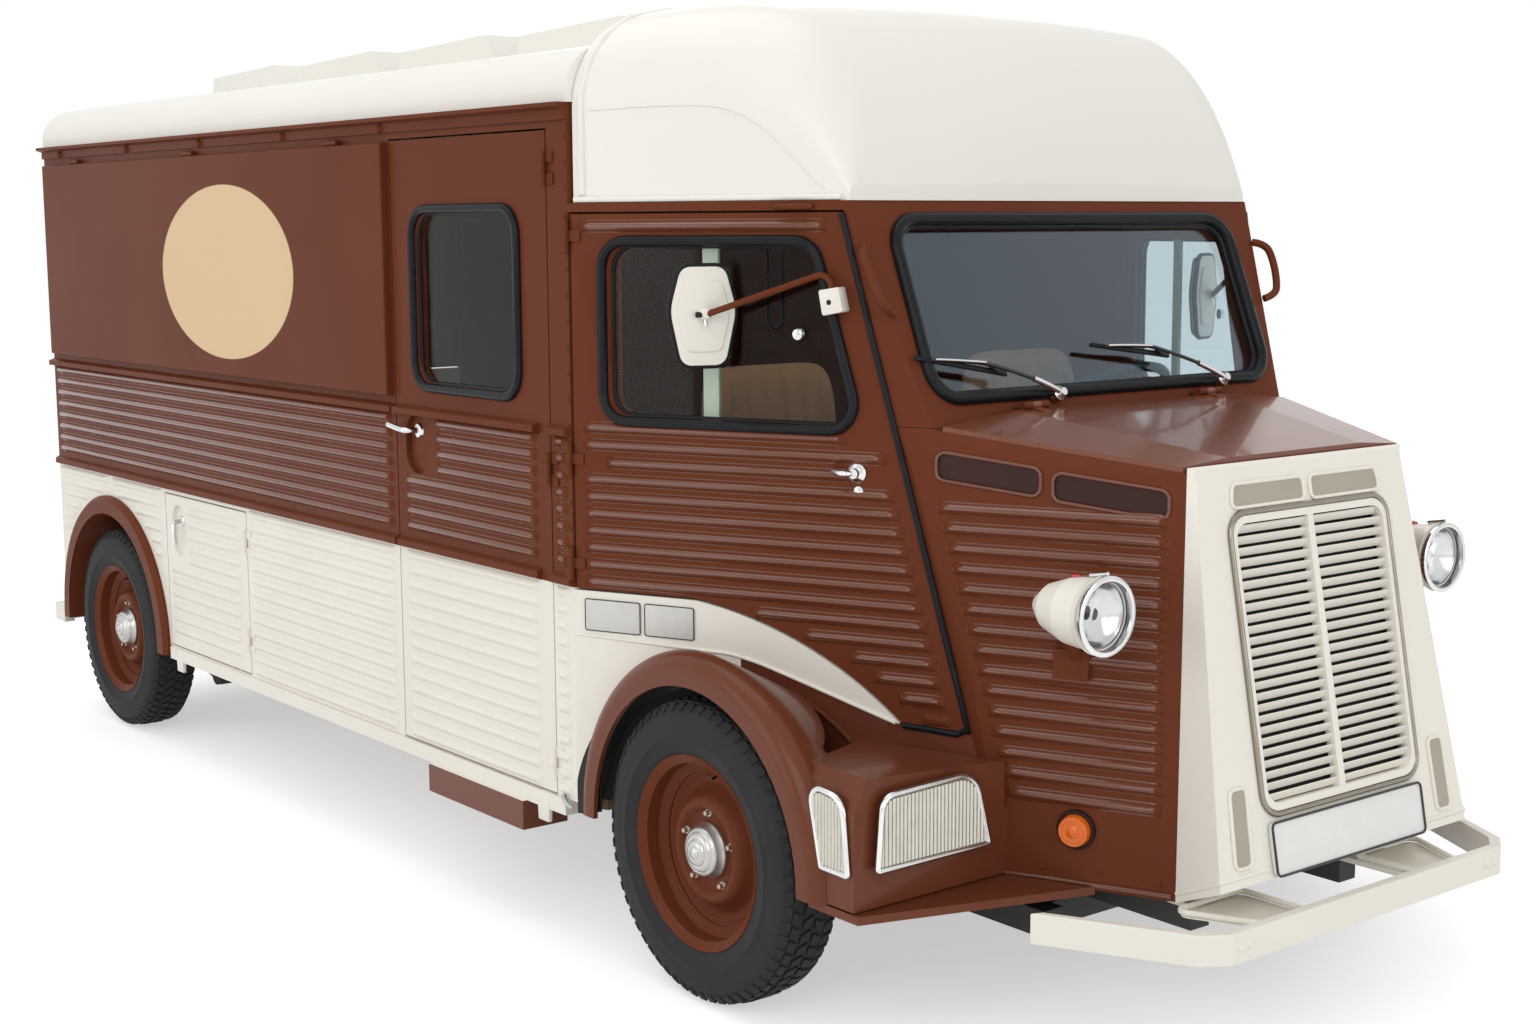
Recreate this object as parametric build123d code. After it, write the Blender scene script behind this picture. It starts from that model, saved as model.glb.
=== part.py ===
from build123d import *
import os
from math import atan2, cos, degrees, hypot, radians, sin, tan

# Corrugated-sided food truck, in millimetres.
# X points forward, Y to the vehicle's left, Z up from the ground.
# Every station is measured from the front axle, and each piece is moved so that
# the origin lies on the ground under the middle of the whole vehicle.

# Driving dimensions
WHEELBASE = 3450
REAR_AXLE = -WHEELBASE
FRONT_OVERHANG = 1130
REAR_OVERHANG = 600
BODY_HALF = 975
BODY_REAR = REAR_AXLE - 500
B_PILLAR = -477
NOSE_FRONT = 895
NOSE_HALF = BODY_HALF - 609
NOSE_BOTTOM = 340
WALL = 35
GAP = 5
SEAT = 0.3

# Heights
SILL_LOW = 325
SILL_TOP = 366
SPLIT = 900
LEDGE = 1290
LEDGE_HEIGHT = 28
GUTTER = 2050
GUTTER_HEIGHT = 60
CREST_SIDE = GUTTER + 115
CREST = CREST_SIDE + 97
CAB_TOP = 1816
CAB_CREST = CREST + 46
FLOOR_TOP = SILL_TOP + 6
FLOOR = 26

# Corrugation
RIB_PITCH = 41
RIB_WIDTH = 27
RIB_HEIGHT = 8
RIB_TAPER = 13

# Wheels
TYRE_RADIUS = 352
TYRE_WIDTH = 165
RIM_RADIUS = 217
RIM_WIDTH = 130
WHEEL_Y = BODY_HALF - 75
HUB_RADIUS = 62
STUB_RADIUS = 26
RUNNING = 0.5
KINGPIN_Y = WHEEL_Y - 110
KINGPIN_RADIUS = 24
ARCH_INNER = 425
ARCH_OUTER = 475
ARCH_FLARE = 24
WELL_INNER_Y = WHEEL_Y - 300
REAR_WELL_Y = WHEEL_Y - 160
FRONT_WELL = 430
FENDER_OUTER = 462
FENDER_LEAN = 0.5
FENDER_WALL = 12
FENDER_NOSE = 545
WELL_FRONT_X = 20
LOCK = 30
FENDER_Y = BODY_HALF + 15

# Serving side, stations along X
HATCH_REAR = BODY_REAR + 35
HATCH_FRONT = -1352
HATCH_LOW = LEDGE + 20
HATCH_TOP = GUTTER - 65
HATCH_THICK = 22
HATCH_LAP = 30
DOOR_REAR = -1338
DOOR_FRONT = -570
DOOR_TOP = GUTTER - 62
DOOR_WINDOW_X = (DOOR_REAR + 128, DOOR_FRONT - 142)
DOOR_WINDOW_Z = (LEDGE + 64, DOOR_TOP - 192)
LOCKER_REAR = REAR_AXLE + 488
LOCKER_FRONT = LOCKER_REAR + 627
LEFT_SEAMS = (REAR_AXLE + 1240, REAR_AXLE + 2140)
SEAM_HALF = 20
LOCKER_LOW = SILL_TOP + 9
LOCKER_TOP = SPLIT - 16
LOCKER_DEPTH = 330
SILL_REAR = REAR_AXLE + 490
SILL_FRONT = -520

# Cab
SCREEN_SLOPE = 0.399
SCREEN_FOOT_Z = 1318
SEAM_TOP_X = 176
SEAM_LOW_X = 459
SEAM_LOW_Z = 655
DOOR_HEAD = 1790
BONNET_FRONT_Z = 1252
BONNET_THICK = 22

# Grille shell
SHELL_FOOT_X = 1060
SHELL_FOOT_Z = 420
SHELL_FOOT_HALF = NOSE_HALF + 64
SHELL_TOP_X = 905
SHELL_TOP_HALF = NOSE_HALF - 16
SHELL_WALL = 26
GRILLE_HALF = NOSE_HALF - 98
GRILLE_LOW = 540
GRILLE_HIGH = 1160
LOUVRES = 25

# Places worked out from the sizes above
TAPER = (BODY_HALF - NOSE_HALF) / (NOSE_FRONT - B_PILLAR)
TAPER_ANGLE = degrees(atan2(BODY_HALF - NOSE_HALF, NOSE_FRONT - B_PILLAR))
CAB_HEAD_X = SEAM_TOP_X + 7
SCREEN_FOOT_X = CAB_HEAD_X + SCREEN_SLOPE * (CAB_TOP - SCREEN_FOOT_Z)
SHIFT = (WHEELBASE + REAR_OVERHANG - FRONT_OVERHANG) / 2
INNER_Y = BODY_HALF - WALL
RAIL_Y = WHEEL_Y - 470


def cab_half(x, inset=0.0):
    """Half width of the tapering cab at a station, drawn in by inset."""
    return BODY_HALF - TAPER * (x - B_PILLAR) - inset / cos(radians(TAPER_ANGLE))


def block(x, y, z):
    """Box between pairs of stations."""
    size = (x[1] - x[0], y[1] - y[0], z[1] - z[0])
    return Pos((x[0] + x[1]) / 2, (y[0] + y[1]) / 2, (z[0] + z[1]) / 2) * Box(*size)


def side_prism(outline, y):
    """Outline drawn in side view (x, z), carried across from y[0] to y[1]."""
    face = make_face(Polyline(*[(a, y[0], b) for a, b in outline], close=True))
    return extrude(face, amount=y[1] - y[0], dir=(0, 1, 0))


def plan_prism(outline, z):
    """Outline drawn in plan (x, y), raised from z[0] to z[1]."""
    face = make_face(Polyline(*[(a, b, z[0]) for a, b in outline], close=True))
    return extrude(face, amount=z[1] - z[0], dir=(0, 0, 1))


def front_prism(outline, x):
    """Outline drawn in front view (y, z), carried from x[0] to x[1]."""
    face = make_face(Polyline(*[(x[0], a, b) for a, b in outline], close=True))
    return extrude(face, amount=x[1] - x[0], dir=(1, 0, 0))


def disc_y(x, z, radius, y):
    """Round bar along Y."""
    return Pos(x, (y[0] + y[1]) / 2, z) * Rot(90, 0, 0) * Cylinder(radius, y[1] - y[0])


def bar(start, end, radius):
    """Round bar between two points."""
    a = Vector(*start)
    b = Vector(*end)
    return Plane(origin=(a + b) * 0.5, z_dir=b - a) * Cylinder(radius, (b - a).length)


def rounded_window(x, z, radius, y):
    """Rounded rectangle in side view, carried across."""
    plane = Plane(origin=((x[0] + x[1]) / 2, y[0], (z[0] + z[1]) / 2), x_dir=(1, 0, 0), z_dir=(0, -1, 0))
    face = plane * RectangleRounded(x[1] - x[0], z[1] - z[0], radius)
    return extrude(face, amount=y[1] - y[0], dir=(0, 1, 0))


def mirrored(part):
    return mirror(part, about=Plane.XZ)


def rib(length):
    """Pressed bead along X, standing out towards -Y, with run-out ends; its foot is on y = 0."""
    arch = ThreePointArc((0, 0.5, -RIB_WIDTH / 2), (0, -RIB_HEIGHT, 0), (0, 0.5, RIB_WIDTH / 2))
    base = Line((0, 0.5, RIB_WIDTH / 2), (0, 0.5, -RIB_WIDTH / 2))
    bead = extrude(make_face([arch, base]), amount=length, dir=(1, 0, 0))
    ends = [(0, 1), (RIB_TAPER, -RIB_HEIGHT - 1), (length - RIB_TAPER, -RIB_HEIGHT - 1), (length, 1)]
    return bead & plan_prism(ends, (-RIB_WIDTH, RIB_WIDTH))


def rib_levels(low, high):
    """Heights of the ribs that fit between two levels, spaced at the one pitch and centred."""
    count = int((high - low - RIB_WIDTH) // RIB_PITCH) + 1
    start = (low + high - (count - 1) * RIB_PITCH) / 2
    return [start + i * RIB_PITCH for i in range(count)]


def side_ribs(x, levels, y=-BODY_HALF):
    """Ribs on the straight body side between two stations."""
    one = rib(x[1] - x[0])
    return [Pos(x[0], y, z) * one for z in levels]


HINGE_RADIUS = 8
HINGE_OUT = HINGE_RADIUS + SEAT
HINGE_LEAF = 38
KNUCKLE_LONG = 26


def hinge(place, bend=0.0):
    """Butt hinge about local Z, X towards the moving panel and Y into the skin: its fixed knuckles, then its moving one."""
    barrel = Cylinder(HINGE_RADIUS, KNUCKLE_LONG)
    leaf = block((HINGE_RADIUS / 2, HINGE_LEAF), (HINGE_RADIUS / 2, HINGE_OUT + 0.5), (-KNUCKLE_LONG / 2, KNUCKLE_LONG / 2))
    moving = barrel + Rot(0, 0, bend) * leaf
    fixed = barrel + Pos(-HINGE_LEAF, 0, 0) * leaf
    step_up = KNUCKLE_LONG + SEAT
    return [place * Pos(0, 0, sign * step_up) * fixed for sign in (-1, 1)], [place * moving]


def side_hinge(x, z, way, bend=0.0):
    """Hinge on the body side about a vertical line; way is 1 where the moving panel lies ahead of it."""
    return hinge(Location(Plane(origin=(x, -BODY_HALF - HINGE_OUT, z), x_dir=(way, 0, 0), z_dir=(0, 0, way))), bend)


def cab_place(u, z):
    """Place on the right cab side, u along the slanting side from the B-pillar."""
    return Pos(B_PILLAR, -BODY_HALF, z) * Rot(0, 0, TAPER_ANGLE) * Pos(u, 0, 0)


def along(x):
    """Distance along the slanting cab side of a station."""
    return (x - B_PILLAR) / cos(radians(TAPER_ANGLE))


# Hinge lines and the heights of the hinges on them
CAB_HINGE_X = B_PILLAR + HINGE_OUT * tan(radians(TAPER_ANGLE / 2))
CAB_HINGES = [1740, 1212, 960]
DOOR_HINGE_X = DOOR_FRONT + GAP / 2
DOOR_HINGES_HIGH = [DOOR_TOP - 88, LEDGE - 110]
DOOR_HINGE_LOW = 450
LOCKER_HINGE_X = LOCKER_FRONT + GAP / 2
LOCKER_HINGES = [480, 790]
HATCH_HINGES = [HATCH_REAR + 300, (HATCH_REAR + HATCH_FRONT) / 2, HATCH_FRONT - 300]
HATCH_HINGE_Y = -BODY_HALF - SEAT - HATCH_THICK / 2
HATCH_HINGE_Z = HATCH_TOP + HINGE_OUT

# Body sides
SIDE_RIBS_BROWN = rib_levels(SPLIT + 34, LEDGE - 8)
SIDE_RIBS_CREAM = rib_levels(SILL_TOP + 8, SPLIT - 2)
EDGE = 26


def ledge(x, z, height=LEDGE_HEIGHT, depth=20):
    """Folded moulding along the side, its top sloping outwards."""
    outline = [(-BODY_HALF, z), (-BODY_HALF - depth, z + 4), (-BODY_HALF - depth, z + height - 8), (-BODY_HALF, z + height)]
    return front_prism(outline, x)


def hatch_hinge(x):
    """Hinge on the serving hatch's top edge: fixed knuckles on lugs from the body side, moving one on the panel."""
    barrel = Pos(0, HATCH_HINGE_Y, HATCH_HINGE_Z) * Rot(0, 90, 0) * Cylinder(HINGE_RADIUS, KNUCKLE_LONG)
    half = KNUCKLE_LONG / 2
    lug = block((-half, half), (HATCH_HINGE_Y, -BODY_HALF + 1), (HATCH_HINGE_Z - 3, HATCH_HINGE_Z + 5))
    leaf = block((-half, half), (HATCH_HINGE_Y - 4, HATCH_HINGE_Y + 4), (HATCH_TOP - 4, HATCH_HINGE_Z))
    return [Pos(x + sign * (KNUCKLE_LONG + SEAT), 0, 0) * (barrel + lug) for sign in (-1, 1)], [Pos(x, 0, 0) * (barrel + leaf)]


def side_upper(serving):
    wall = block((BODY_REAR, B_PILLAR), (-BODY_HALF, -INNER_Y), (SPLIT, GUTTER))
    if serving:
        hatch_hole = block((HATCH_REAR + HATCH_LAP, HATCH_FRONT - HATCH_LAP), (-BODY_HALF - 1, -INNER_Y + 1),
                           (HATCH_LOW + HATCH_LAP, HATCH_TOP - HATCH_LAP))
        door_hole = block((DOOR_REAR - GAP, DOOR_FRONT + GAP), (-BODY_HALF - 1, -INNER_Y + 1), (SPLIT - 1, DOOR_TOP + GAP))
        wall = wall - hatch_hole - door_hole
        spans = [(BODY_REAR + EDGE, DOOR_REAR - GAP - EDGE), (DOOR_FRONT + GAP + 14, B_PILLAR - 16)]
        ledges = [(BODY_REAR, DOOR_REAR - GAP - 2), (DOOR_FRONT + GAP + 2, B_PILLAR)]
    else:
        spans = [(BODY_REAR + EDGE, LEFT_SEAMS[0] - SEAM_HALF), (LEFT_SEAMS[0] + SEAM_HALF, B_PILLAR - EDGE)]
        ledges = [(BODY_REAR, B_PILLAR)]
    extras = []
    for span in spans:
        extras += side_ribs(span, SIDE_RIBS_BROWN)
    for span in ledges:
        extras.append(ledge(span, LEDGE - LEDGE_HEIGHT))
        extras.append(ledge(span, SPLIT, 30, 14))
    drip = [(-BODY_HALF, GUTTER - GUTTER_HEIGHT + 20), (-BODY_HALF - 8, GUTTER - GUTTER_HEIGHT + 20), (-BODY_HALF - 8, GUTTER - 16),
            (-BODY_HALF - 28, GUTTER - 10), (-BODY_HALF - 28, GUTTER), (-BODY_HALF, GUTTER)]
    extras.append(front_prism(drip, (BODY_REAR, B_PILLAR)))
    for z in CAB_HINGES:
        extras += side_hinge(CAB_HINGE_X, z, 1, TAPER_ANGLE)[0]
    if serving:
        for z in DOOR_HINGES_HIGH:
            extras += side_hinge(DOOR_HINGE_X, z, -1)[0]
        for x in HATCH_HINGES:
            extras += hatch_hinge(x)[0]
    return wall + extras


def side_lower(serving):
    wall = block((BODY_REAR, B_PILLAR), (-BODY_HALF, -INNER_Y), (SILL_TOP, SPLIT))
    low = SILL_TOP
    spans = [(LOCKER_FRONT + 30, DOOR_REAR - GAP - EDGE), (DOOR_FRONT + GAP + 14, B_PILLAR - 16)]
    if not serving:
        spans = [(LOCKER_REAR, LEFT_SEAMS[0] - SEAM_HALF), (LEFT_SEAMS[0] + SEAM_HALF, LEFT_SEAMS[1] - SEAM_HALF),
                 (LEFT_SEAMS[1] + SEAM_HALF, B_PILLAR - EDGE)]
    ribs = []
    for span in spans:
        ribs += side_ribs(span, SIDE_RIBS_CREAM)
    for z in SIDE_RIBS_CREAM:
        reach = arch_reach(z, ARCH_OUTER + 16)
        if REAR_AXLE - reach - 24 - (BODY_REAR + EDGE) > 60:
            ribs += side_ribs((BODY_REAR + EDGE, REAR_AXLE - reach - 24), [z])
        if LOCKER_REAR - 30 - (REAR_AXLE + reach + 24) > 60:
            ribs += side_ribs((REAR_AXLE + reach + 24, LOCKER_REAR - 30), [z])
    wall = wall - disc_y(REAR_AXLE, TYRE_RADIUS, ARCH_INNER, (-BODY_HALF - 1, -INNER_Y + 1))
    if serving:
        hole = block((DOOR_REAR - GAP, DOOR_FRONT + GAP), (-BODY_HALF - 1, -INNER_Y + 1), (low - 1, SPLIT + 1))
        locker = block((LOCKER_REAR - GAP, LOCKER_FRONT + GAP), (-BODY_HALF - 1, -INNER_Y + 1), (LOCKER_LOW - GAP, LOCKER_TOP + GAP))
        wall = wall - hole - locker
        ribs += side_hinge(DOOR_HINGE_X, DOOR_HINGE_LOW, -1)[0]
        for z in LOCKER_HINGES:
            ribs += side_hinge(LOCKER_HINGE_X, z, -1)[0]
    return wall + ribs


def arch_reach(z, radius):
    """Half length of a wheel arch at a height."""
    rise = z - TYRE_RADIUS
    return 0 if abs(rise) >= radius else (radius * radius - rise * rise) ** 0.5


def rear_arch():
    """Flared lip over the rear wheel, with the round wheelhouse behind it."""
    y_out = -BODY_HALF - ARCH_FLARE
    lip = disc_y(REAR_AXLE, TYRE_RADIUS, ARCH_OUTER, (y_out, -BODY_HALF - SEAT))
    lip = chamfer(lip.edges().group_by(Axis.Y)[0], 14)
    well = disc_y(REAR_AXLE, TYRE_RADIUS, ARCH_INNER - SEAT, (-BODY_HALF - SEAT - 1, -REAR_WELL_Y))
    hollow = disc_y(REAR_AXLE, TYRE_RADIUS, ARCH_INNER - 12, (y_out - 1, -REAR_WELL_Y - 12))
    floor_cut = block((REAR_AXLE - 600, REAR_AXLE + 600), (y_out - 1, -REAR_WELL_Y + 40), (-200, TYRE_RADIUS - 20))
    return (lip + well) - hollow - floor_cut


# Cab shell: tapering plan cut by the side profile
def cab_solid(inset, top=0.0):
    """The cab and nose as a closed form, drawn in by inset on every side."""
    slope = inset / cos(radians(TAPER_ANGLE))
    x = (B_PILLAR, NOSE_FRONT)
    plan = [(x[0], -BODY_HALF + slope), (x[1], -NOSE_HALF + slope), (x[1], NOSE_HALF - slope), (x[0], BODY_HALF - slope)]
    back = inset * hypot(1, SCREEN_SLOPE)
    rise = (SCREEN_FOOT_Z - BONNET_FRONT_Z) / (NOSE_FRONT - SCREEN_FOOT_X)
    foot_x = SCREEN_FOOT_X - back
    profile = [(B_PILLAR, NOSE_BOTTOM - top), (NOSE_FRONT, NOSE_BOTTOM - top), (NOSE_FRONT, BONNET_FRONT_Z + top),
               (foot_x, SCREEN_FOOT_Z + rise * back), (CAB_HEAD_X - back - SCREEN_SLOPE * top, CAB_TOP + top),
               (B_PILLAR, CAB_TOP + top)]
    return plan_prism(plan, (NOSE_BOTTOM - top, CAB_TOP + top)) & side_prism(profile, (-BODY_HALF - 50, BODY_HALF + 50))


def seam_x(z):
    """Station of the slanting front seam of the cab door at a height."""
    return SEAM_TOP_X + (DOOR_HEAD - z) * (SEAM_LOW_X - SEAM_TOP_X) / (DOOR_HEAD - SEAM_LOW_Z)


DOOR_CURVE = [(312, 660), (130, 797), (-170, SPLIT)]


def door_shape(grow, y):
    """Cab door in side view, grown by a margin and carried across; its lower rear edge curves over the wheel."""
    lean = grow * 1.03
    rear = B_PILLAR + 8 - grow
    outline = [(rear, DOOR_HEAD + grow), (seam_x(DOOR_HEAD + grow) + lean, DOOR_HEAD + grow), (seam_x(SEAM_LOW_Z - grow) + lean, SEAM_LOW_Z - grow),
               (DOOR_CURVE[0][0] - grow * 0.6, DOOR_CURVE[0][1] - grow), (DOOR_CURVE[1][0] - grow * 0.6, DOOR_CURVE[1][1] - grow),
               (DOOR_CURVE[2][0], SPLIT - grow), (rear, SPLIT - grow)]
    pts = [(a, y[0], b) for a, b in outline]
    lines = [Line(pts[i], pts[i + 1]) for i in (0, 1, 2)]
    lines.append(ThreePointArc(pts[3], pts[4], pts[5]))
    lines.append(Line(pts[5], pts[6]))
    lines.append(Line(pts[6], pts[0]))
    return extrude(make_face(lines), amount=y[1] - y[0], dir=(0, 1, 0))


WINDOW_LOW = 1308
WINDOW_HIGH = 1728
WINDOW_REAR = -388
WINDOW_EDGE = 12


def cab_window(grow, y):
    """Side window of the cab door in side view, with a slanting front edge and rounded corners."""
    o = [(WINDOW_REAR - grow, WINDOW_HIGH + grow), (seam_x(WINDOW_HIGH) - 74 + grow, WINDOW_HIGH + grow),
         (seam_x(WINDOW_LOW) - 70 + grow, WINDOW_LOW - grow), (WINDOW_REAR - grow, WINDOW_LOW - grow)]
    face = make_face(Polyline(*[(a, b) for a, b in o], close=True))
    face = fillet(face.vertices(), 62 + grow)
    plane = Plane(origin=(0, y[0], 0), x_dir=(1, 0, 0), z_dir=(0, -1, 0))
    return extrude(plane * face, amount=y[1] - y[0], dir=(0, 1, 0))


CAB = cab_solid(0)
CAB_IN = cab_solid(WALL, 1)
CAB_CORE = plan_prism([(B_PILLAR - 1, -cab_half(B_PILLAR - 1, WALL)), (NOSE_FRONT + 1, -cab_half(NOSE_FRONT + 1, WALL)),
                       (NOSE_FRONT + 1, cab_half(NOSE_FRONT + 1, WALL)), (B_PILLAR - 1, cab_half(B_PILLAR - 1, WALL))],
                      (NOSE_BOTTOM - 1, CAB_TOP + 1))
CAB_SIDES = CAB - CAB_CORE
SCREEN_WALL = (CAB & CAB_CORE & block((-BODY_HALF, BODY_HALF), (-BODY_HALF, BODY_HALF), (SCREEN_FOOT_Z + 5, CAB_TOP))) - CAB_IN
GLASS_SKIN = cab_solid(14, 1) - cab_solid(20, 1)
RIGHT = (-BODY_HALF - 60, -20)


def front_well(radius):
    """Space swept by the front wheel: behind the axle it reaches inside the cab, ahead of it only up to the cab side."""
    drum = disc_y(0, TYRE_RADIUS, radius, (-FENDER_Y - 10, -WELL_INNER_Y + radius - FRONT_WELL))
    return drum - (CAB & block((WELL_FRONT_X + radius - FRONT_WELL, 700), RIGHT, (-200, 1000)))


def wheel_sweep():
    """Room for the steered wheel, as the wheel with a margin at a few steering angles."""
    room = []
    for angle in (-LOCK, -LOCK / 2, 0, LOCK / 2, LOCK):
        disc = Pos(0, -WHEEL_Y + KINGPIN_Y, TYRE_RADIUS) * Rot(90, 0, 0) * Cylinder(TYRE_RADIUS + 16, TYRE_WIDTH + 12)
        room.append(Pos(0, -KINGPIN_Y, 0) * Rot(0, 0, angle) * disc)
    return room


def cab_door():
    panel = (CAB_SIDES & door_shape(0, RIGHT)) - cab_window(-WINDOW_EDGE, RIGHT)
    ribs = []
    top = WINDOW_LOW - 18
    count = 16
    for i in range(count):
        z = top - i * RIB_PITCH
        front = along(seam_x(z)) - 34
        rear = along(B_PILLAR + 8) + 26
        if i == 2:
            rear += 62
        if i in (0, 2):
            front -= 88
        curve = z - 8
        if curve < SPLIT + 6:
            rear = along(arch_curve(curve)) + 34
        if z < SEAM_LOW_Z + 10:
            front -= 70
        if front - rear > 70:
            ribs.append(cab_place(rear, z) * rib(front - rear))
    head = cab_place(along(B_PILLAR + 8) + 20, DOOR_HEAD - 28) * rib(along(seam_x(DOOR_HEAD)) - along(B_PILLAR) - 60)
    for z in CAB_HINGES:
        ribs += side_hinge(CAB_HINGE_X, z, 1, TAPER_ANGLE)[1]
    return panel + ribs + [head]


def arch_curve(z):
    """Station of the door's lower rear curve at a height, read along its chords."""
    steps = [DOOR_CURVE[2], DOOR_CURVE[1], DOOR_CURVE[0]]
    for a, b in zip(steps, steps[1:]):
        if b[1] <= z <= a[1]:
            return a[0] + (a[1] - z) * (b[0] - a[0]) / (a[1] - b[1]) + 24
    return steps[-1][0]


def cab_lower():
    """Fixed side under the cab door, open over the front wheel, its ribs carrying on from the door's."""
    region = block((B_PILLAR, 700), RIGHT, (NOSE_BOTTOM - 10, SPLIT - GAP)) & CAB_SIDES
    mouth = fender_drum(FENDER_WALL) & block((-700, WELL_FRONT_X), RIGHT, (-200, 1000))
    return region - door_shape(GAP, RIGHT) - nose_region(RIGHT) - mouth - wheel_sweep()


def nose_region(y):
    low = NOSE_BOTTOM - 20
    foot = seam_x(SEAM_LOW_Z) + GAP * 1.1
    lean = (SEAM_LOW_X - SEAM_TOP_X) / (DOOR_HEAD - SEAM_LOW_Z)
    edge = foot + lean * (SEAM_LOW_Z - low)
    top = SCREEN_FOOT_Z + 4
    return side_prism([(edge, low), (NOSE_FRONT + 1, low), (NOSE_FRONT + 1, BONNET_FRONT_Z + 1), (SCREEN_FOOT_X, top),
                       (foot - lean * (top - SEAM_LOW_Z), top)], y)


LAMP = (868, NOSE_HALF + 216, 978)
LAMP_BOWL = [(-185, 0), (-176, 22), (-140, 50), (-80, 70), (-20, 76), (-4, 82)]
LAMP_FOOT_X = 676


def lamp_bowl(grow, back):
    """The headlamp's bowl about X, grown by a margin and hollow to a depth behind its rim."""
    outline = [(LAMP[0] + a - (grow if b == 0 else 0), b + (grow if b else 0)) for a, b in LAMP_BOWL]
    outline += [(LAMP[0] - 4, 70), (LAMP[0] - back, 66), (LAMP[0] - back, 0)]
    bowl = revolve(make_face(Polyline(*[(a, 0, b) for a, b in outline], close=True)), Axis.X)
    return Pos(0, -LAMP[1], LAMP[2]) * bowl


def lamp_bracket():
    """Plate on the nose side with an arm up to the headlamp."""
    plate = cab_place(along(LAMP_FOOT_X) - 40, LAMP[2] - 180) * Pos(0, 1, 0) * Box(80, RIB_HEIGHT + 7, 66, align=(Align.MIN, Align.MAX, Align.MIN))
    foot = (LAMP_FOOT_X + 10, -cab_half(LAMP_FOOT_X + 10), LAMP[2] - 134)
    arm = bar(foot, (LAMP[0] - 118, -LAMP[1], LAMP[2] - 30), 13)
    return [plate, arm - lamp_bowl(SEAT, 30)]


NOSE_RIBS = 15
NOSE_RIB_TOP = 1150
SLOTS = [(0.385, 0.605), (0.63, 0.862)]


def nose_side():
    panel = CAB_SIDES & nose_region(RIGHT)
    pitch = RIB_PITCH + 3
    ribs = []
    for i in range(NOSE_RIBS):
        z = NOSE_RIB_TOP - i * pitch
        u = (along(seam_x(z)) + 58, along(NOSE_FRONT) - 34)
        ribs.append(cab_place(u[0], z) * rib(u[1] - u[0]))
    cuts = []
    for a, b in SLOTS:
        u = (along(a * 1000), along(b * 1000))
        rise = (SCREEN_FOOT_Z - BONNET_FRONT_Z) / (NOSE_FRONT - SCREEN_FOOT_X)
        mid = SCREEN_FOOT_Z - 74 - rise * ((a + b) * 500 - SCREEN_FOOT_X)
        plane = Plane(origin=((u[0] + u[1]) / 2, -20, 0), x_dir=(1, 0, -0.11), z_dir=(0, -1, 0))
        slot = extrude(plane * RectangleRounded(u[1] - u[0], 62, 20), amount=32, dir=(0, 1, 0))
        cuts.append(cab_place(0, mid) * slot)
    return (panel + ribs + lamp_bracket()) - cuts


BONNET_RISE = (SCREEN_FOOT_Z - BONNET_FRONT_Z) / (NOSE_FRONT - SCREEN_FOOT_X)
BONNET_REAR_X = SCREEN_FOOT_X + 16
BONNET_CROWN = 12
BONNET_HINGE_Y = NOSE_HALF - 66
BONNET_DROP = atan2(BONNET_RISE * (NOSE_FRONT - BONNET_REAR_X) + BONNET_CROWN, NOSE_FRONT - BONNET_REAR_X)
BONNET_HINGE_Z = SCREEN_FOOT_Z - BONNET_RISE * 16 + SEAT + BONNET_THICK + BONNET_CROWN + HINGE_OUT * cos(BONNET_DROP)


def bonnet_hinges():
    """The bonnet's two hinges, at its rear edge under the windscreen."""
    fixed, moving = [], []
    for side in (-1, 1):
        place = Plane(origin=(BONNET_REAR_X, side * BONNET_HINGE_Y, BONNET_HINGE_Z), x_dir=(1, 0, 0), z_dir=(0, 1, 0))
        a, b = hinge(Location(place), degrees(BONNET_DROP))
        fixed += a
        moving += b
    return fixed, moving


def screen_frame():
    """Windscreen surround with both front pillars."""
    keep = side_prism([(SEAM_TOP_X - 60, CAB_TOP), (seam_x(DOOR_HEAD) + GAP, DOOR_HEAD + GAP), (seam_x(SCREEN_FOOT_Z + 5) + GAP, SCREEN_FOOT_Z + 5),
                       (SCREEN_FOOT_X + 20, SCREEN_FOOT_Z + 5), (SCREEN_FOOT_X + 20, CAB_TOP)], (-BODY_HALF, BODY_HALF))
    head = block((B_PILLAR, 260), (-BODY_HALF, BODY_HALF), (DOOR_HEAD + GAP, CAB_TOP))
    frame = (CAB_SIDES & (keep + head)) + SCREEN_WALL
    return (frame - screen_cut(-10, 120)) + bonnet_hinges()[0]


def screen_plane(depth):
    """Plane on the windscreen, its origin at mid height on the centreline."""
    z = (CAB_TOP + SCREEN_FOOT_Z) / 2
    x = CAB_HEAD_X + SCREEN_SLOPE * (CAB_TOP - z)
    normal = Vector(1, 0, SCREEN_SLOPE).normalized()
    return Plane(origin=Vector(x, 0, z) - normal * depth, x_dir=(0, 1, 0), z_dir=normal)


SCREEN_HALF = BODY_HALF - 403
SCREEN_HEIGHT = 428


def screen_cut(grow, depth, at=60.0):
    face = RectangleRounded(2 * (SCREEN_HALF + grow), SCREEN_HEIGHT + 2 * grow, 70 + grow)
    lift = Pos(0, 10, 0) * face
    return extrude(screen_plane(at) * lift, amount=depth)


def windscreen():
    return screen_cut(-10 - SEAT, 6, 22)


# Cab roof: a dome lofted through upright sections, each a station, its share of the full rise and its corner roll
DOME = [
    (B_PILLAR + 8, 0.976, 230),
    (-250, 1, 230),
    (-60, 0.909, 215),
    (70, 0.695, 180),
    (146, 0.411, 120),
    (CAB_HEAD_X + 4, 0.081, 20),
]
DOME_CAMBER = 58


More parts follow.
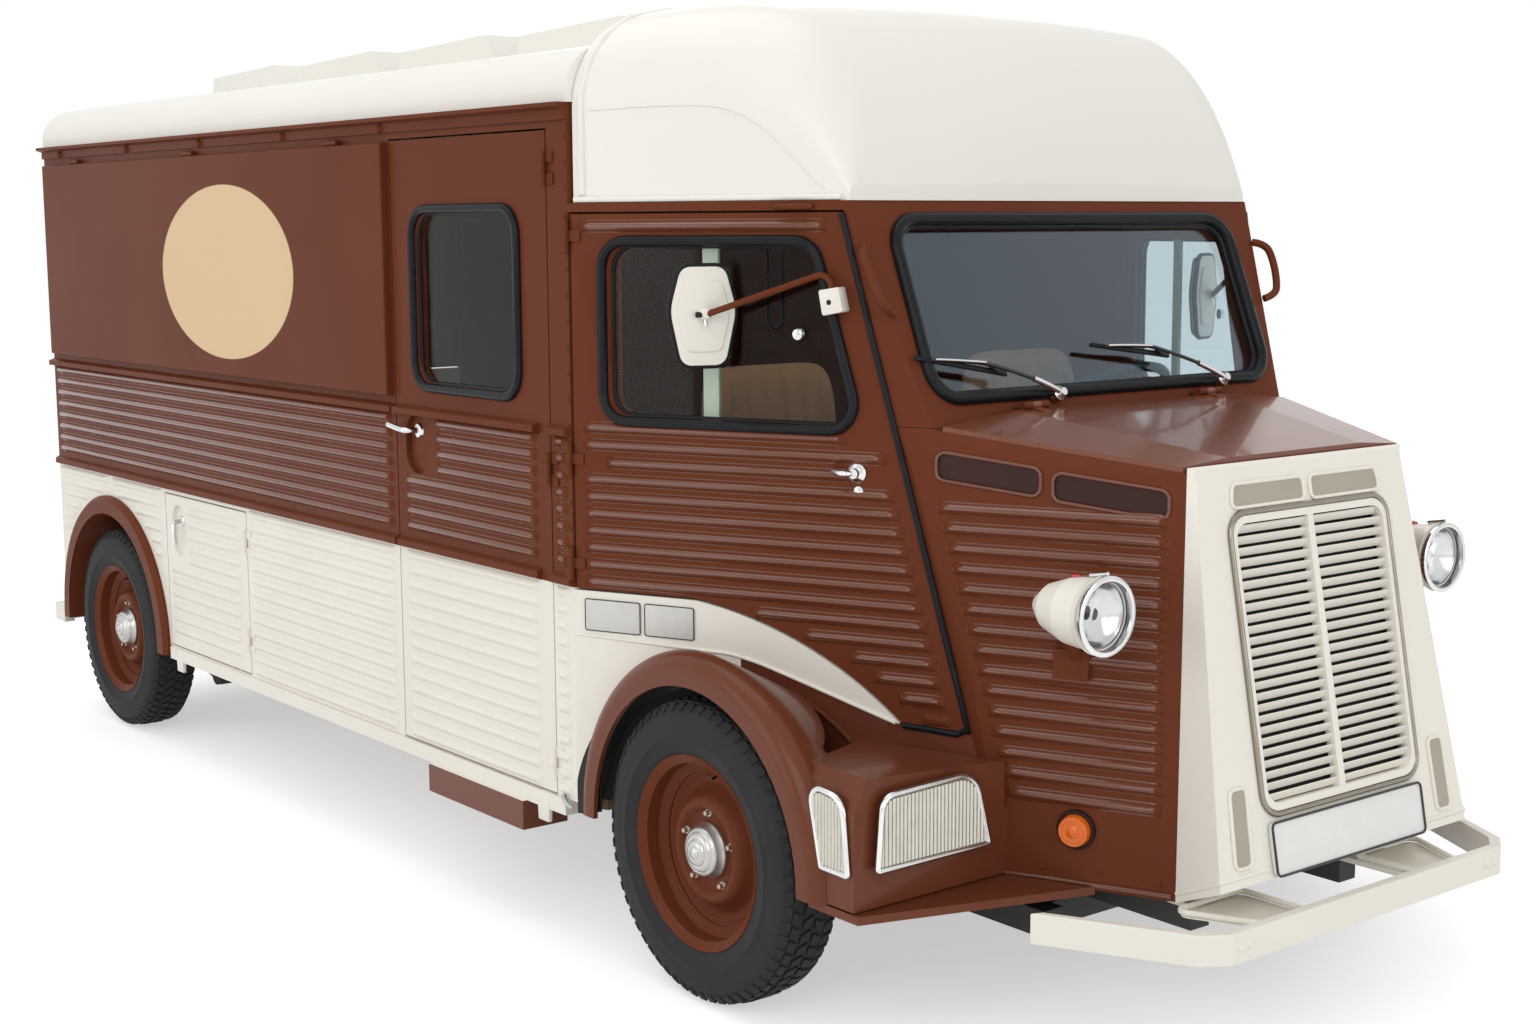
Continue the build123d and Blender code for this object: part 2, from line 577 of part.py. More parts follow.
def dome_form(inset, drop=0.0):
    """The dome as a closed form, drawn in by inset, its foot lowered by drop."""
    sections = []
    for x, share, roll in DOME:
        half = cab_half(x, inset) - 10
        top = CAB_TOP + share * (CAB_CREST - CAB_TOP) - inset
        shoulder = top - DOME_CAMBER * min(1.0, (top - CAB_TOP) / 300)
        foot = CAB_TOP - drop
        walls = Polyline((x, -half, shoulder), (x, -half, foot), (x, half, foot), (x, half, shoulder))
        crown = ThreePointArc((x, -half, shoulder), (x, 0, top), (x, half, shoulder))
        face = make_face([walls, crown])
        corners = [v for v in face.vertices() if v.Z > foot + 5]
        sections.append(fillet(corners, min(roll, shoulder - foot - 6)))
    return loft(sections)


def cab_roof():
    outer = dome_form(0)
    inner = Pos(-WALL, 0, 0) * dome_form(WALL, 60)
    back = block((B_PILLAR - WALL - 10, B_PILLAR + 60), (-INNER_Y + WALL, INNER_Y - WALL), (CAB_TOP - 80, CAB_TOP + 92))
    return outer - inner - back


# Cargo roof
def roof_form(inset, rear, front):
    half = BODY_HALF + 2 - inset
    low = GUTTER
    sides = Polyline((front, -half, CREST_SIDE - inset), (front, -half, low), (front, half, low), (front, half, CREST_SIDE - inset))
    crown = ThreePointArc((front, -half, CREST_SIDE - inset), (front, 0, CREST - inset), (front, half, CREST_SIDE - inset))
    face = make_face([sides, crown])
    corners = [v for v in face.vertices() if v.Z > low + 10]
    face = fillet(corners, 110 - inset)
    form = extrude(face, amount=front - rear, dir=(-1, 0, 0))
    roll = 200 - inset
    top = CREST + 20 - inset
    end = make_face([Polyline((rear + roll, 0, top), (front, 0, top), (front, 0, low), (rear, 0, low), (rear, 0, top - roll)),
                     ThreePointArc((rear, 0, top - roll), (rear + roll * 0.2929, 0, top - roll * 0.2929), (rear + roll, 0, top))])
    return form & extrude(end, amount=BODY_HALF + 60, dir=(0, 1, 0), both=True)


VENTS = [BODY_REAR + 450 + 720 * i for i in range(4)]
VENT_LENGTH = 640
VENT_HALF = 380


def cargo_roof():
    shell = roof_form(0, BODY_REAR, B_PILLAR + 6) - roof_form(WALL, BODY_REAR + WALL, B_PILLAR + 8)
    low = CREST - 60
    outline = [(-VENT_LENGTH / 2, low), (-VENT_LENGTH / 2 + 30, CREST + 50), (VENT_LENGTH / 2 - 90, CREST + 68), (VENT_LENGTH / 2, low)]
    vent = side_prism(outline, (-VENT_HALF, VENT_HALF)) - roof_form(1, -VENT_LENGTH, VENT_LENGTH)
    return shell + [Pos(x, 0, 0) * vent for x in VENTS]


# Bonnet and grille
def bonnet():
    front_x = NOSE_FRONT - 9

    def section(x, crown):
        z = BONNET_FRONT_Z + BONNET_RISE * (NOSE_FRONT - x) + SEAT
        half = cab_half(x) - 2
        pts = [(x, -half, z), (x, half, z), (x, half, z + BONNET_THICK * 0.5), (x, half * 0.62, z + BONNET_THICK + crown),
               (x, -half * 0.62, z + BONNET_THICK + crown), (x, -half, z + BONNET_THICK * 0.5)]
        return make_face(Polyline(*pts, close=True))

    return loft([section(BONNET_REAR_X, BONNET_CROWN), section(front_x, 0)], ruled=True) + bonnet_hinges()[1]


GRILLE_LEAN = (SHELL_FOOT_X - SHELL_TOP_X) / (BONNET_FRONT_Z - SHELL_FOOT_Z)


def grille_x(z):
    """Station of the leaning grille face at a height."""
    return SHELL_FOOT_X - GRILLE_LEAN * (z - SHELL_FOOT_Z)


def grille_plane(z, depth=0.0):
    """Plane on the leaning grille face at a height, its Y axis up the face."""
    normal = Vector(1, 0, GRILLE_LEAN).normalized()
    x = grille_x(z)
    return Plane(origin=Vector(x, 0, z) - normal * depth, x_dir=(0, 1, 0), z_dir=normal)


def shell_form(inset):
    rear_x = NOSE_FRONT + SEAT
    top = BONNET_FRONT_Z + 12 - inset
    rear = [(rear_x, -NOSE_HALF - 6 + inset, NOSE_BOTTOM + inset), (rear_x, NOSE_HALF + 6 - inset, NOSE_BOTTOM + inset),
            (rear_x, NOSE_HALF - inset, top), (rear_x, -NOSE_HALF + inset, top)]
    foot_x = grille_x(SHELL_FOOT_Z - 8 + inset) - inset * hypot(1, GRILLE_LEAN)
    top_x = grille_x(top - 6) - inset * hypot(1, GRILLE_LEAN)
    front = [(foot_x, -SHELL_FOOT_HALF + inset, SHELL_FOOT_Z - 8 + inset), (foot_x, SHELL_FOOT_HALF - inset, SHELL_FOOT_Z - 8 + inset),
             (top_x, SHELL_TOP_HALF - inset, top - 6), (top_x, -SHELL_TOP_HALF + inset, top - 6)]
    return loft([make_face(Polyline(*rear, close=True)), make_face(Polyline(*front, close=True))], ruled=True)


def grille_shell():
    outer = shell_form(0)
    inner = Pos(-1, 0, 0) * shell_form(SHELL_WALL)
    mid = (GRILLE_LOW + GRILLE_HIGH) / 2
    hole = extrude(grille_plane(mid, 80) * RectangleRounded(2 * GRILLE_HALF, GRILLE_HIGH - GRILLE_LOW, 50), amount=160)
    return outer - inner - hole


def grille():
    """Frame, centre rib and two columns of leaning louvres, in one pressing."""
    mid = (GRILLE_LOW + GRILLE_HIGH) / 2
    height = GRILLE_HIGH - GRILLE_LOW
    edge = 16
    outer = RectangleRounded(2 * (GRILLE_HALF - SEAT), height - 2 * SEAT, 50)
    inner = RectangleRounded(2 * (GRILLE_HALF - edge), height - 2 * edge, 36)
    frame = extrude(grille_plane(mid, 20) * (outer - inner), amount=26)
    centre = extrude(grille_plane(mid, 18) * Rectangle(20, height - edge), amount=22)
    pitch = (height - 2 * edge) / LOUVRES
    column = GRILLE_HALF - edge - 8
    slats = []
    for i in range(LOUVRES):
        y = -height / 2 + edge + (i + 0.5) * pitch
        slat = grille_plane(mid, 8) * (Pos(0, y, 0) * Rot(38, 0, 0) * Box(2 * column + 16, pitch * 0.86, 3))
        slats.append(slat)
    return frame + [centre] + slats


# Fenders
def fender_drum(inset):
    """The fender as a solid of revolution about the axle: round lip, then a cone falling towards the cab."""
    r = FENDER_OUTER - inset
    lip = -FENDER_Y + inset
    inner = -WELL_INNER_Y + 180
    start = Line((0, lip, 0), (0, lip, r - 46))
    crest = ThreePointArc((0, lip, r - 46), (0, lip + 14, r - 12), (0, lip + 50, r))
    rest = Polyline((0, lip + 50, r), (0, inner, r - FENDER_LEAN * (inner - lip - 50)), (0, inner, 0), (0, lip, 0))
    return Pos(0, 0, TYRE_RADIUS) * revolve(make_face([start, crest, rest]), Axis.Y)


def front_fender():
    """Round arch over the wheel and flat front with its foot plate."""
    outer_y = -FENDER_Y
    inner_y = -WELL_INNER_Y + 180
    outline = [(outer_y + 24, TYRE_RADIUS), (outer_y + 24, 560), (outer_y + 60, 632), (inner_y, 596), (inner_y, TYRE_RADIUS)]
    front = front_prism(outline, (0, FENDER_NOSE))
    body = fender_drum(0) + front
    body = body - block((-700, 700), (outer_y - 1, -300), (-200, TYRE_RADIUS - 4))
    inside = fender_drum(FENDER_WALL) & block((-700, FENDER_NOSE - FENDER_WALL), (outer_y - 1, -300), (-200, 1000))
    mouth = disc_y(0, TYRE_RADIUS, FRONT_WELL - 45, (outer_y - 1, outer_y + 40))
    outside = block((-700, B_PILLAR), (-BODY_HALF - SEAT, 0), (-200, 1000))
    body = body - inside - mouth - CAB - outside - wheel_sweep()
    shape = [(400, outer_y + 22), (FENDER_NOSE + 15, outer_y + 22), (730, -cab_half(730) - 1), (400, -cab_half(400) - 1)]
    plate = plan_prism(shape, (330, TYRE_RADIUS - 4)) - CAB - wheel_sweep()
    ribs_room = cab_solid(-RIB_HEIGHT - 1) & block((300, 800), RIGHT, (500, 800))
    return (body + plate) - ribs_room


def wheel_well():
    """Inner wheelhouse behind each front wheel, inside the cab."""
    ring = front_well(FRONT_WELL + 12) & CAB_IN & block((-700, WELL_FRONT_X + 12), (-1000, -300), (-200, 1000))
    return ring - front_well(FRONT_WELL) - block((-700, 700), (-1000, -300), (-200, FLOOR_TOP + SEAT))


# Wheels
def tyre():
    """Round-shouldered tyre about Y, centred on its own wheel plane."""
    w = TYRE_WIDTH / 2
    r = TYRE_RADIUS
    bead = RIM_RADIUS - 8
    half = [(RIM_WIDTH / 2 - 4, bead), (w, (bead + r) / 2), (w - 6, r - 34), (w - 24, r - 8), (0, r)]
    pts = [(a, b) for a, b in half] + [(-a, b) for a, b in half[-2::-1]]
    face = make_face(Polyline(*[(0, a, b) for a, b in pts], close=True))
    return revolve(face, Axis.Y)


def rim():
    """Steel wheel: well, flange, disc and domed cap; the outside faces -Y."""
    w = RIM_WIDTH / 2 + 2
    bead = RIM_RADIUS - 8 - SEAT
    outer = [(-w - 6, RIM_RADIUS + 6), (-w, RIM_RADIUS + 6), (-w + 6, bead), (-20, bead - 12), (0, bead - 30), (20, bead - 30), (30, bead - 8),
             (w - 6, bead), (w, RIM_RADIUS + 6), (w + 6, RIM_RADIUS + 6)]
    inner = [(w + 6, bead - 4), (34, bead - 14), (24, bead - 38), (-4, bead - 38), (-24, bead - 20), (-w - 6, bead - 4)]
    barrel = revolve(make_face(Polyline(*[(0, a, b) for a, b in outer + inner], close=True)), Axis.Y)
    disc = [(-32, 0), (-32, HUB_RADIUS), (-46, HUB_RADIUS + 30), (-40, HUB_RADIUS + 62), (-14, bead - 30), (-6, bead - 36),
            (0, bead - 36), (0, bead - 42), (-26, HUB_RADIUS + 62), (-32, HUB_RADIUS + 30), (20, HUB_RADIUS - 4), (20, 0)]
    plate = revolve(make_face(Polyline(*[(0, a, b) for a, b in disc], close=True)), Axis.Y)
    cap = [(-32, 0), (-32, HUB_RADIUS - 6), (-52, HUB_RADIUS - 10), (-70, HUB_RADIUS - 26), (-78, 0)]
    dome = revolve(make_face(Polyline(*[(0, a, b) for a, b in cap], close=True)), Axis.Y)
    bore = disc_y(0, 0, STUB_RADIUS + RUNNING, (-16, 60))
    return (barrel + plate + dome) - bore


ARM_BACK = 150
ARM_TOP = TYRE_RADIUS - 50
ARM_EYE = 110
EYE_HEIGHT = 28


def knuckle():
    """Upright on the kingpin with the stub axle and steering arm."""
    post = Pos(0, -KINGPIN_Y, TYRE_RADIUS) * Cylinder(KINGPIN_RADIUS, 2 * (ARM_EYE - SEAT) - EYE_HEIGHT)
    stub = disc_y(0, TYRE_RADIUS, STUB_RADIUS, (-WHEEL_Y - 14, -KINGPIN_Y))
    arm = block((-ARM_BACK, 0), (-KINGPIN_Y - 10, -KINGPIN_Y + 10), (ARM_TOP - 20, ARM_TOP))
    eye = Pos(-ARM_BACK, -KINGPIN_Y, ARM_TOP - 10) * Cylinder(17, 20)
    return post + stub + arm + eye


def track_rod():
    """Rod between the two steering arms, its eyes lying on them."""
    z = ARM_TOP + SEAT + 10
    rod = bar((-ARM_BACK, -KINGPIN_Y, z), (-ARM_BACK, KINGPIN_Y, z), 9)
    eyes = [Pos(-ARM_BACK, side * KINGPIN_Y, z) * Cylinder(17, 20) for side in (-1, 1)]
    return rod + eyes


# Running gear
FRAME_LOW = 262
IRON_LOW = 318


def front_suspension():
    """Subframe with its cross beam, lower wishbones, upper arms on the wheelhouses, and half shafts."""
    low = (FRAME_LOW - 62, FRAME_LOW - SEAT)
    parts = [block((-70, 70), (-RAIL_Y, RAIL_Y), (low[0] + 2, low[1] - 2))]
    parts.append(block((500, 560), (-RAIL_Y, RAIL_Y), (low[0] + 2, low[1] - 2)))
    loose = []
    for side in (-1, 1):
        rail = tuple(sorted((side * (RAIL_Y - 30), side * (RAIL_Y + 30))))
        parts.append(block((-300, 600), rail, low))
        parts.append(block((500, 870), tuple(sorted((side * (NOSE_HALF - 136), side * (NOSE_HALF - 76)))), (low[1] - 8, IRON_LOW - SEAT)))
        parts.append(Pos(0, side * KINGPIN_Y, TYRE_RADIUS - ARM_EYE) * Cylinder(KINGPIN_RADIUS + 6, EYE_HEIGHT))
        upper = [Pos(0, side * KINGPIN_Y, TYRE_RADIUS + ARM_EYE) * Cylinder(KINGPIN_RADIUS + 6, EYE_HEIGHT)]
        for x in (-90, 90):
            z = TYRE_RADIUS - ARM_EYE
            parts.append(bar((x, side * RAIL_Y, z - 8), (0, side * (KINGPIN_Y - 8), z), 11))
        upper.append(block((-120, 4), tuple(sorted((side * (WELL_INNER_Y + SEAT), side * (WELL_INNER_Y + 10)))),
                           (TYRE_RADIUS + ARM_EYE - 20, TYRE_RADIUS + ARM_EYE + 20)))
        for x in (-100, -16):
            z = TYRE_RADIUS + ARM_EYE
            upper.append(bar((x, side * (WELL_INNER_Y + 8), z), (0, side * (KINGPIN_Y - 8), z), 10))
        loose.append(upper[0] + upper[1:])
        loose.append(bar((0, side * (ENGINE_HALF + 2.2), 280), (0, side * (KINGPIN_Y - KINGPIN_RADIUS - 6), TYRE_RADIUS), 14))
    return [parts[0] + parts[1:]] + loose


def rear_suspension():
    """Cross tube, trailing arms and stub axles."""
    pivot_x = REAR_AXLE + 420
    arm_y = (WHEEL_Y - 143, WHEEL_Y - 105)
    parts = [disc_y(pivot_x, FRAME_LOW - 34 - SEAT, 34, (-arm_y[1], arm_y[1]))]
    for side in (-1, 1):
        span = tuple(sorted((side * arm_y[0], side * arm_y[1])))
        outline = [(pivot_x + 34, 200), (pivot_x + 34, 256), (REAR_AXLE - 34, TYRE_RADIUS + 34), (REAR_AXLE - 34, TYRE_RADIUS - 34)]
        parts.append(side_prism(outline, span))
        parts.append(disc_y(REAR_AXLE, TYRE_RADIUS, STUB_RADIUS, tuple(sorted((side * arm_y[0], side * (WHEEL_Y + 14))))))
    return parts[0] + parts[1:]


def chassis():
    """Two longitudinal rails with cross members under the floor."""
    low = FRAME_LOW
    high = FLOOR_TOP - FLOOR
    parts = []
    for side in (-1, 1):
        span = tuple(sorted((side * (RAIL_Y - 30), side * (RAIL_Y + 30))))
        parts.append(block((BODY_REAR + 40, -210), span, (low, high)))
    for x in (BODY_REAR + 70, REAR_AXLE + 850, REAR_AXLE + 1450, REAR_AXLE + 2050, -800, -240):
        parts.append(block((x - 30, x + 30), (-RAIL_Y, RAIL_Y), (low, high - 4)))
    return parts[0] + parts[1:]


def body_floor():
    """Load floor with its cut-outs over all four wheels."""
    rear = BODY_REAR + WALL + SEAT
    side = INNER_Y - SEAT
    pillar = cab_half(B_PILLAR, WALL) - SEAT
    front = cab_half(430, WALL) - SEAT
    right = [(rear, -side), (B_PILLAR - SEAT, -side), (B_PILLAR - SEAT, -pillar), (430, -front)]
    plan = right + [(x, -y) for x, y in reversed(right)]
    plate = plan_prism(plan, (FLOOR_TOP - FLOOR, FLOOR_TOP))
    for side in (-1, 1):
        rear = block((REAR_AXLE - ARCH_INNER - 4, REAR_AXLE + ARCH_INNER + 4), tuple(sorted((side * (REAR_WELL_Y - 5), side * FENDER_Y))), (200, 500))
        front = block((-FRONT_WELL - 2, WELL_FRONT_X + 14), tuple(sorted((side * (WELL_INNER_Y - 14), side * FENDER_Y))), (200, 500))
        plate = plate - rear - front
    return plate - block((ENGINE_X[0] - 10, 440), (-ENGINE_HALF - 10, ENGINE_HALF + 10), (200, 500))


def sills():
    parts = []
    for side in (-1, 1):
        outline = [(side * (BODY_HALF + 8), SILL_LOW), (side * (BODY_HALF + 8), SILL_TOP - SEAT), (side * (INNER_Y + SEAT), SILL_TOP - SEAT),
                   (side * (INNER_Y + SEAT), FLOOR_TOP - FLOOR - SEAT), (side * (BODY_HALF - 115), FLOOR_TOP - FLOOR - SEAT),
                   (side * (BODY_HALF - 115), SILL_LOW)]
        parts.append(front_prism(outline, (SILL_REAR, SILL_FRONT)))
    return parts


# Rear of the body
REAR_OPEN_HALF = BODY_HALF - 255
REAR_OPEN_LOW = 430
REAR_OPEN_TOP = GUTTER - 90
REAR_WAIST = LEDGE - 110
TAIL_GLASS = (2 * REAR_OPEN_HALF - 480, (REAR_OPEN_TOP - REAR_WAIST) * 0.51)
TAIL_CORNER = TAIL_GLASS[1] * 0.15


REAR_HINGES = [520, 1090]
REAR_HINGE_Y = REAR_OPEN_HALF - GAP / 2
TAIL_HINGE_Y = REAR_OPEN_HALF - 300
TAIL_HINGE_Z = REAR_OPEN_TOP - GAP / 2


def rear_hinge(z):
    """Hinge of the right-hand rear door."""
    place = Plane(origin=(BODY_REAR - HINGE_OUT, -REAR_HINGE_Y, z), x_dir=(0, 1, 0), z_dir=(0, 0, -1))
    return hinge(Location(place))


def tail_hinge(y):
    """Hinge of the tailgate, above its glass."""
    place = Plane(origin=(BODY_REAR - HINGE_OUT, y, TAIL_HINGE_Z), x_dir=(0, 0, -1), z_dir=(0, -1, 0))
    return hinge(Location(place))


def rear_frame():
    """Rear wall round the tailgate and the two lower doors."""
    knuckles = []
    for z in REAR_HINGES:
        knuckles += rear_hinge(z)[0]
        knuckles += [mirrored(k) for k in rear_hinge(z)[0]]
    for y in (-TAIL_HINGE_Y, TAIL_HINGE_Y):
        knuckles += tail_hinge(y)[0]
    frame = block((BODY_REAR, BODY_REAR + WALL), (-INNER_Y + SEAT, INNER_Y - SEAT), (SILL_LOW, GUTTER))
    opening = block((BODY_REAR - 1, BODY_REAR + WALL + 1), (-REAR_OPEN_HALF, REAR_OPEN_HALF), (REAR_OPEN_LOW, REAR_OPEN_TOP))
    return (frame - opening) + knuckles


def tailgate():
    y = REAR_OPEN_HALF - GAP
    panel = block((BODY_REAR, BODY_REAR + WALL - 8), (-y, y), (REAR_WAIST + GAP / 2, REAR_OPEN_TOP - GAP))
    plane = Plane(origin=(BODY_REAR - 1, 0, (REAR_WAIST + REAR_OPEN_TOP) / 2 + 60), x_dir=(0, 1, 0), z_dir=(1, 0, 0))
    panel = panel - extrude(plane * RectangleRounded(TAIL_GLASS[0], TAIL_GLASS[1], TAIL_CORNER), amount=WALL + 2)
    return panel + tail_hinge(-TAIL_HINGE_Y)[1] + tail_hinge(TAIL_HINGE_Y)[1]


def tailgate_glass():
    plane = Plane(origin=(BODY_REAR + 10, 0, (REAR_WAIST + REAR_OPEN_TOP) / 2 + 60), x_dir=(0, 1, 0), z_dir=(1, 0, 0))
    return extrude(plane * RectangleRounded(TAIL_GLASS[0] - 2 * SEAT, TAIL_GLASS[1] - 2 * SEAT, TAIL_CORNER), amount=6)


def rear_door():
    """Right-hand lower rear door with its ribs."""
    y = (-REAR_OPEN_HALF + GAP, -GAP / 2)
    panel = block((BODY_REAR, BODY_REAR + WALL - 8), y, (REAR_OPEN_LOW + GAP, REAR_WAIST - GAP / 2))
    one = Rot(0, 0, -90) * rib(y[1] - y[0] - 80)
    ribs = [Pos(BODY_REAR, y[1] - 40, z) * one for z in rib_levels(REAR_OPEN_LOW + 30, REAR_WAIST - 30)]
    for z in REAR_HINGES:
        ribs += rear_hinge(z)[1]
    return panel + ribs


# Serving side doors
def side_door():
    """Kitchen door: flat glazed top, ribbed below, with a folded ledge at mid height."""
    x = (DOOR_REAR, DOOR_FRONT)
    panel = block(x, (-BODY_HALF, -INNER_Y), (SILL_TOP + GAP, DOOR_TOP))
    panel = panel - rounded_window(DOOR_WINDOW_X, DOOR_WINDOW_Z, 70, (-BODY_HALF - 1, -INNER_Y + 1))
    handle_well = rounded_window((-1290, -1168), (1108, 1268), 56, (-BODY_HALF - 1, -BODY_HALF + 16))
    ribs = []
    for i, z in enumerate(reversed(SIDE_RIBS_BROWN)):
        ribs += side_ribs((-1130 if i < 4 else x[0] + 40, x[1] - 60), [z])
    ribs += side_ribs((x[0] + 40, x[1] - 60), SIDE_RIBS_CREAM)
    lips = [ledge((x[0] + 6, x[1] - 50), LEDGE - LEDGE_HEIGHT), ledge((x[0] + 6, x[1] - 50), SPLIT, 30, 14)]
    for z in DOOR_HINGES_HIGH + [DOOR_HINGE_LOW]:
        ribs += side_hinge(DOOR_HINGE_X, z, -1)[1]
    return (panel + ribs + lips) - handle_well


def side_door_glass():
    x = (DOOR_WINDOW_X[0] + SEAT, DOOR_WINDOW_X[1] - SEAT)
    z = (DOOR_WINDOW_Z[0] + SEAT, DOOR_WINDOW_Z[1] - SEAT)
    return rounded_window(x, z, 70, (-BODY_HALF + 14, -BODY_HALF + 20))


def hatch():
    """Serving hatch lapping the side of the body, hung from its top edge."""
    y = (-BODY_HALF - SEAT - HATCH_THICK, -BODY_HALF - SEAT)
    skin = block((HATCH_REAR, HATCH_FRONT), y, (HATCH_LOW, HATCH_TOP))
    skin = chamfer(skin.edges().group_by(Axis.Y)[0], 3)
    for station in HATCH_HINGES:
        skin = skin + hatch_hinge(station)[1]
    return skin


def locker_door():
    panel = block((LOCKER_REAR, LOCKER_FRONT), (-BODY_HALF, -BODY_HALF + 22), (LOCKER_LOW, LOCKER_TOP))
    well = rounded_window((LOCKER_REAR + 50, LOCKER_REAR + 150), (LOCKER_TOP - 200, LOCKER_TOP - 30), 49, (-BODY_HALF - 1, -BODY_HALF + 14))
    ribs = []
    for z in SIDE_RIBS_CREAM:
        if LOCKER_LOW + 16 < z < LOCKER_TOP - 16:
            start = LOCKER_REAR + (180 if z > LOCKER_TOP - 215 else 36)
            ribs += side_ribs((start, LOCKER_FRONT - 44), [z])
    for z in LOCKER_HINGES:
        ribs += side_hinge(LOCKER_HINGE_X, z, -1)[1]
    return (panel + ribs) - well


def locker_box():
    x = (LOCKER_REAR - GAP - 12, LOCKER_FRONT + GAP + 12)
    z = (FLOOR_TOP + SEAT, LOCKER_TOP + GAP + 12)
    y = (-INNER_Y + SEAT, -INNER_Y + LOCKER_DEPTH)
    box = block(x, y, z) - block((x[0] + 12, x[1] - 12), (y[0] - 1, y[1] - 12), (z[0] + 12, z[1] - 12))
    return box


def counter():
    """Worktop inside the serving hatch on a plain front and end panels."""
    x = (BODY_REAR + WALL + 40, DOOR_REAR - 60)
    y = (-INNER_Y + SEAT, -BODY_HALF + 495)
    under = HATCH_LOW - 75
    top = block(x, y, (under, HATCH_LOW - 40))
    front = block((x[0], x[1]), (y[1] - 60, y[1] - 40), (FLOOR_TOP + SEAT, under))
    end = block((x[1] - 20, x[1]), (y[0], y[1] - 40), (FLOOR_TOP + SEAT, under))
    return top + [front, end]


# Small pieces on the body
def headlamp():
    """Bullet lamp about X, the glass left open at the front."""
    return lamp_bowl(0, 30)


def headlamp_lens():
    x, y, z = LAMP
    lens = revolve(make_face(Polyline((x - 12, 0, 0), (x - 12, 0, 68), (x - 2, 0, 66), (x + 8, 0, 40), (x + 12, 0, 0), close=True)), Axis.X)
    return Pos(0, -y, z) * lens


def front_bumper():
    """Flat bar with slanting returns, on two flat irons."""
    front = FRONT_OVERHANG
    half = NOSE_HALF + 105
    end = (780, NOSE_HALF + 324)
    deep = 26
    bend = 40
    outer = [(end[0], -end[1]), (front - bend, -half - 60), (front, -half), (front, half), (front - bend, half + 60), (end[0], end[1])]
    inner = [(end[0] + 12, end[1] - deep), (front - bend - deep + 4, half + 44), (front - deep, half - 6), (front - deep, -half + 6),
             (front - bend - deep + 4, -half - 44), (end[0] + 12, -end[1] + deep)]
    bar_face = plan_prism(outer + inner, (290, 356))
    irons = []
    for side in (-1, 1):
        span = tuple(sorted((side * (NOSE_HALF - 166), side * (NOSE_HALF - 36))))
        irons.append(block((NOSE_FRONT - 60, front - deep + 1), span, (IRON_LOW, IRON_LOW + 12)))
    return bar_face + irons


def rear_bumper():
    low, high = 300, 366
    bar_face = block((BODY_REAR - 100, BODY_REAR - 60), (-BODY_HALF - 10, BODY_HALF + 10), (low, high))
    ends = []
    for side in (-1, 1):
        span = tuple(sorted((side * (BODY_HALF - 30), side * (BODY_HALF + 10))))
        ends.append(block((BODY_REAR - 62, BODY_REAR - 6), span, (low, high)))
        span = tuple(sorted((side * (RAIL_Y - 25), side * (RAIL_Y + 25))))
        ends.append(block((BODY_REAR - 62, BODY_REAR + 40 - SEAT), span, (low + 6, high - 48)))
    return bar_face + ends


def fender_lamps():
    parts = []
    for side in (-1, 1):
        span = tuple(sorted((side * (BODY_HALF - 95), side * (BODY_HALF - 350))))
        parts.append(block((545 + SEAT, 560), span, (445, 580)))
    return parts


def tail_lamps():
    parts = []
    for side in (-1, 1):
        parts.append(Pos(BODY_REAR - 14 - SEAT, side * (BODY_HALF - 115), 1050) * Rot(0, 90, 0) * Cylinder(38, 28))
        parts.append(Pos(BODY_REAR - 14 - SEAT, side * (BODY_HALF - 115), 950) * Rot(0, 90, 0) * Cylinder(38, 28))
    return parts


def front_indicators():
    parts = []
    for side in (-1, 1):
        x = 690
        place = Plane(origin=(x, side * (cab_half(x) + SEAT), 470), z_dir=(sin(radians(TAPER_ANGLE)), side * cos(radians(TAPER_ANGLE)), 0))
        parts.append(extrude(place * Circle(38), amount=26, taper=12))
    return parts


ENGINE_X = (-90, 600)
ENGINE_HALF = 200


def engine():
    return block(ENGINE_X, (-ENGINE_HALF, ENGINE_HALF), (FRAME_LOW - 2, 840))


def engine_cover():
    """Box over the engine, between the seats."""
    x = (ENGINE_X[0] - 40, 440 - SEAT)
    half = ENGINE_HALF + 30
    z = (FLOOR_TOP + SEAT, 870)
    return block(x, (-half, half), z) - block((x[0] + 15, x[1] + 1), (-half + 15, half - 15), (z[0] - 1, z[1] - 15))


def bulkhead():
    """Toe board across the cab with the dashboard folded into its top, and the steering column on it."""
    z = (FLOOR_TOP + SEAT, SCREEN_FOOT_Z - 60)
    half = cab_half(452, WALL) - SEAT
    board = block((440, 452), (-half, half), z) - block((439, 453), (-ENGINE_HALF - 15, ENGINE_HALF + 15), (FLOOR_TOP - 1, 855))
    outline = [(290, 1120), (441, 1180), (441, 1258), (274, 1258)]
    return board + side_prism(outline, (-half + 4, half - 4)) + steering_column()


STEER_Y = 300
STEER_CENTRE = (10, 1290)
STEER_FOOT = (300, 860)


def steering_column():
    direction = (Vector(STEER_FOOT[0], STEER_Y, STEER_FOOT[1]) - Vector(STEER_CENTRE[0], STEER_Y, STEER_CENTRE[1])).normalized()
    start = Vector(STEER_CENTRE[0], STEER_Y, STEER_CENTRE[1]) + direction * 40
    reach = 446
    foot = Vector(reach, STEER_Y, STEER_CENTRE[1] + (reach - STEER_CENTRE[0]) / direction.X * direction.Z)
    return bar(tuple(start), tuple(foot), 20)


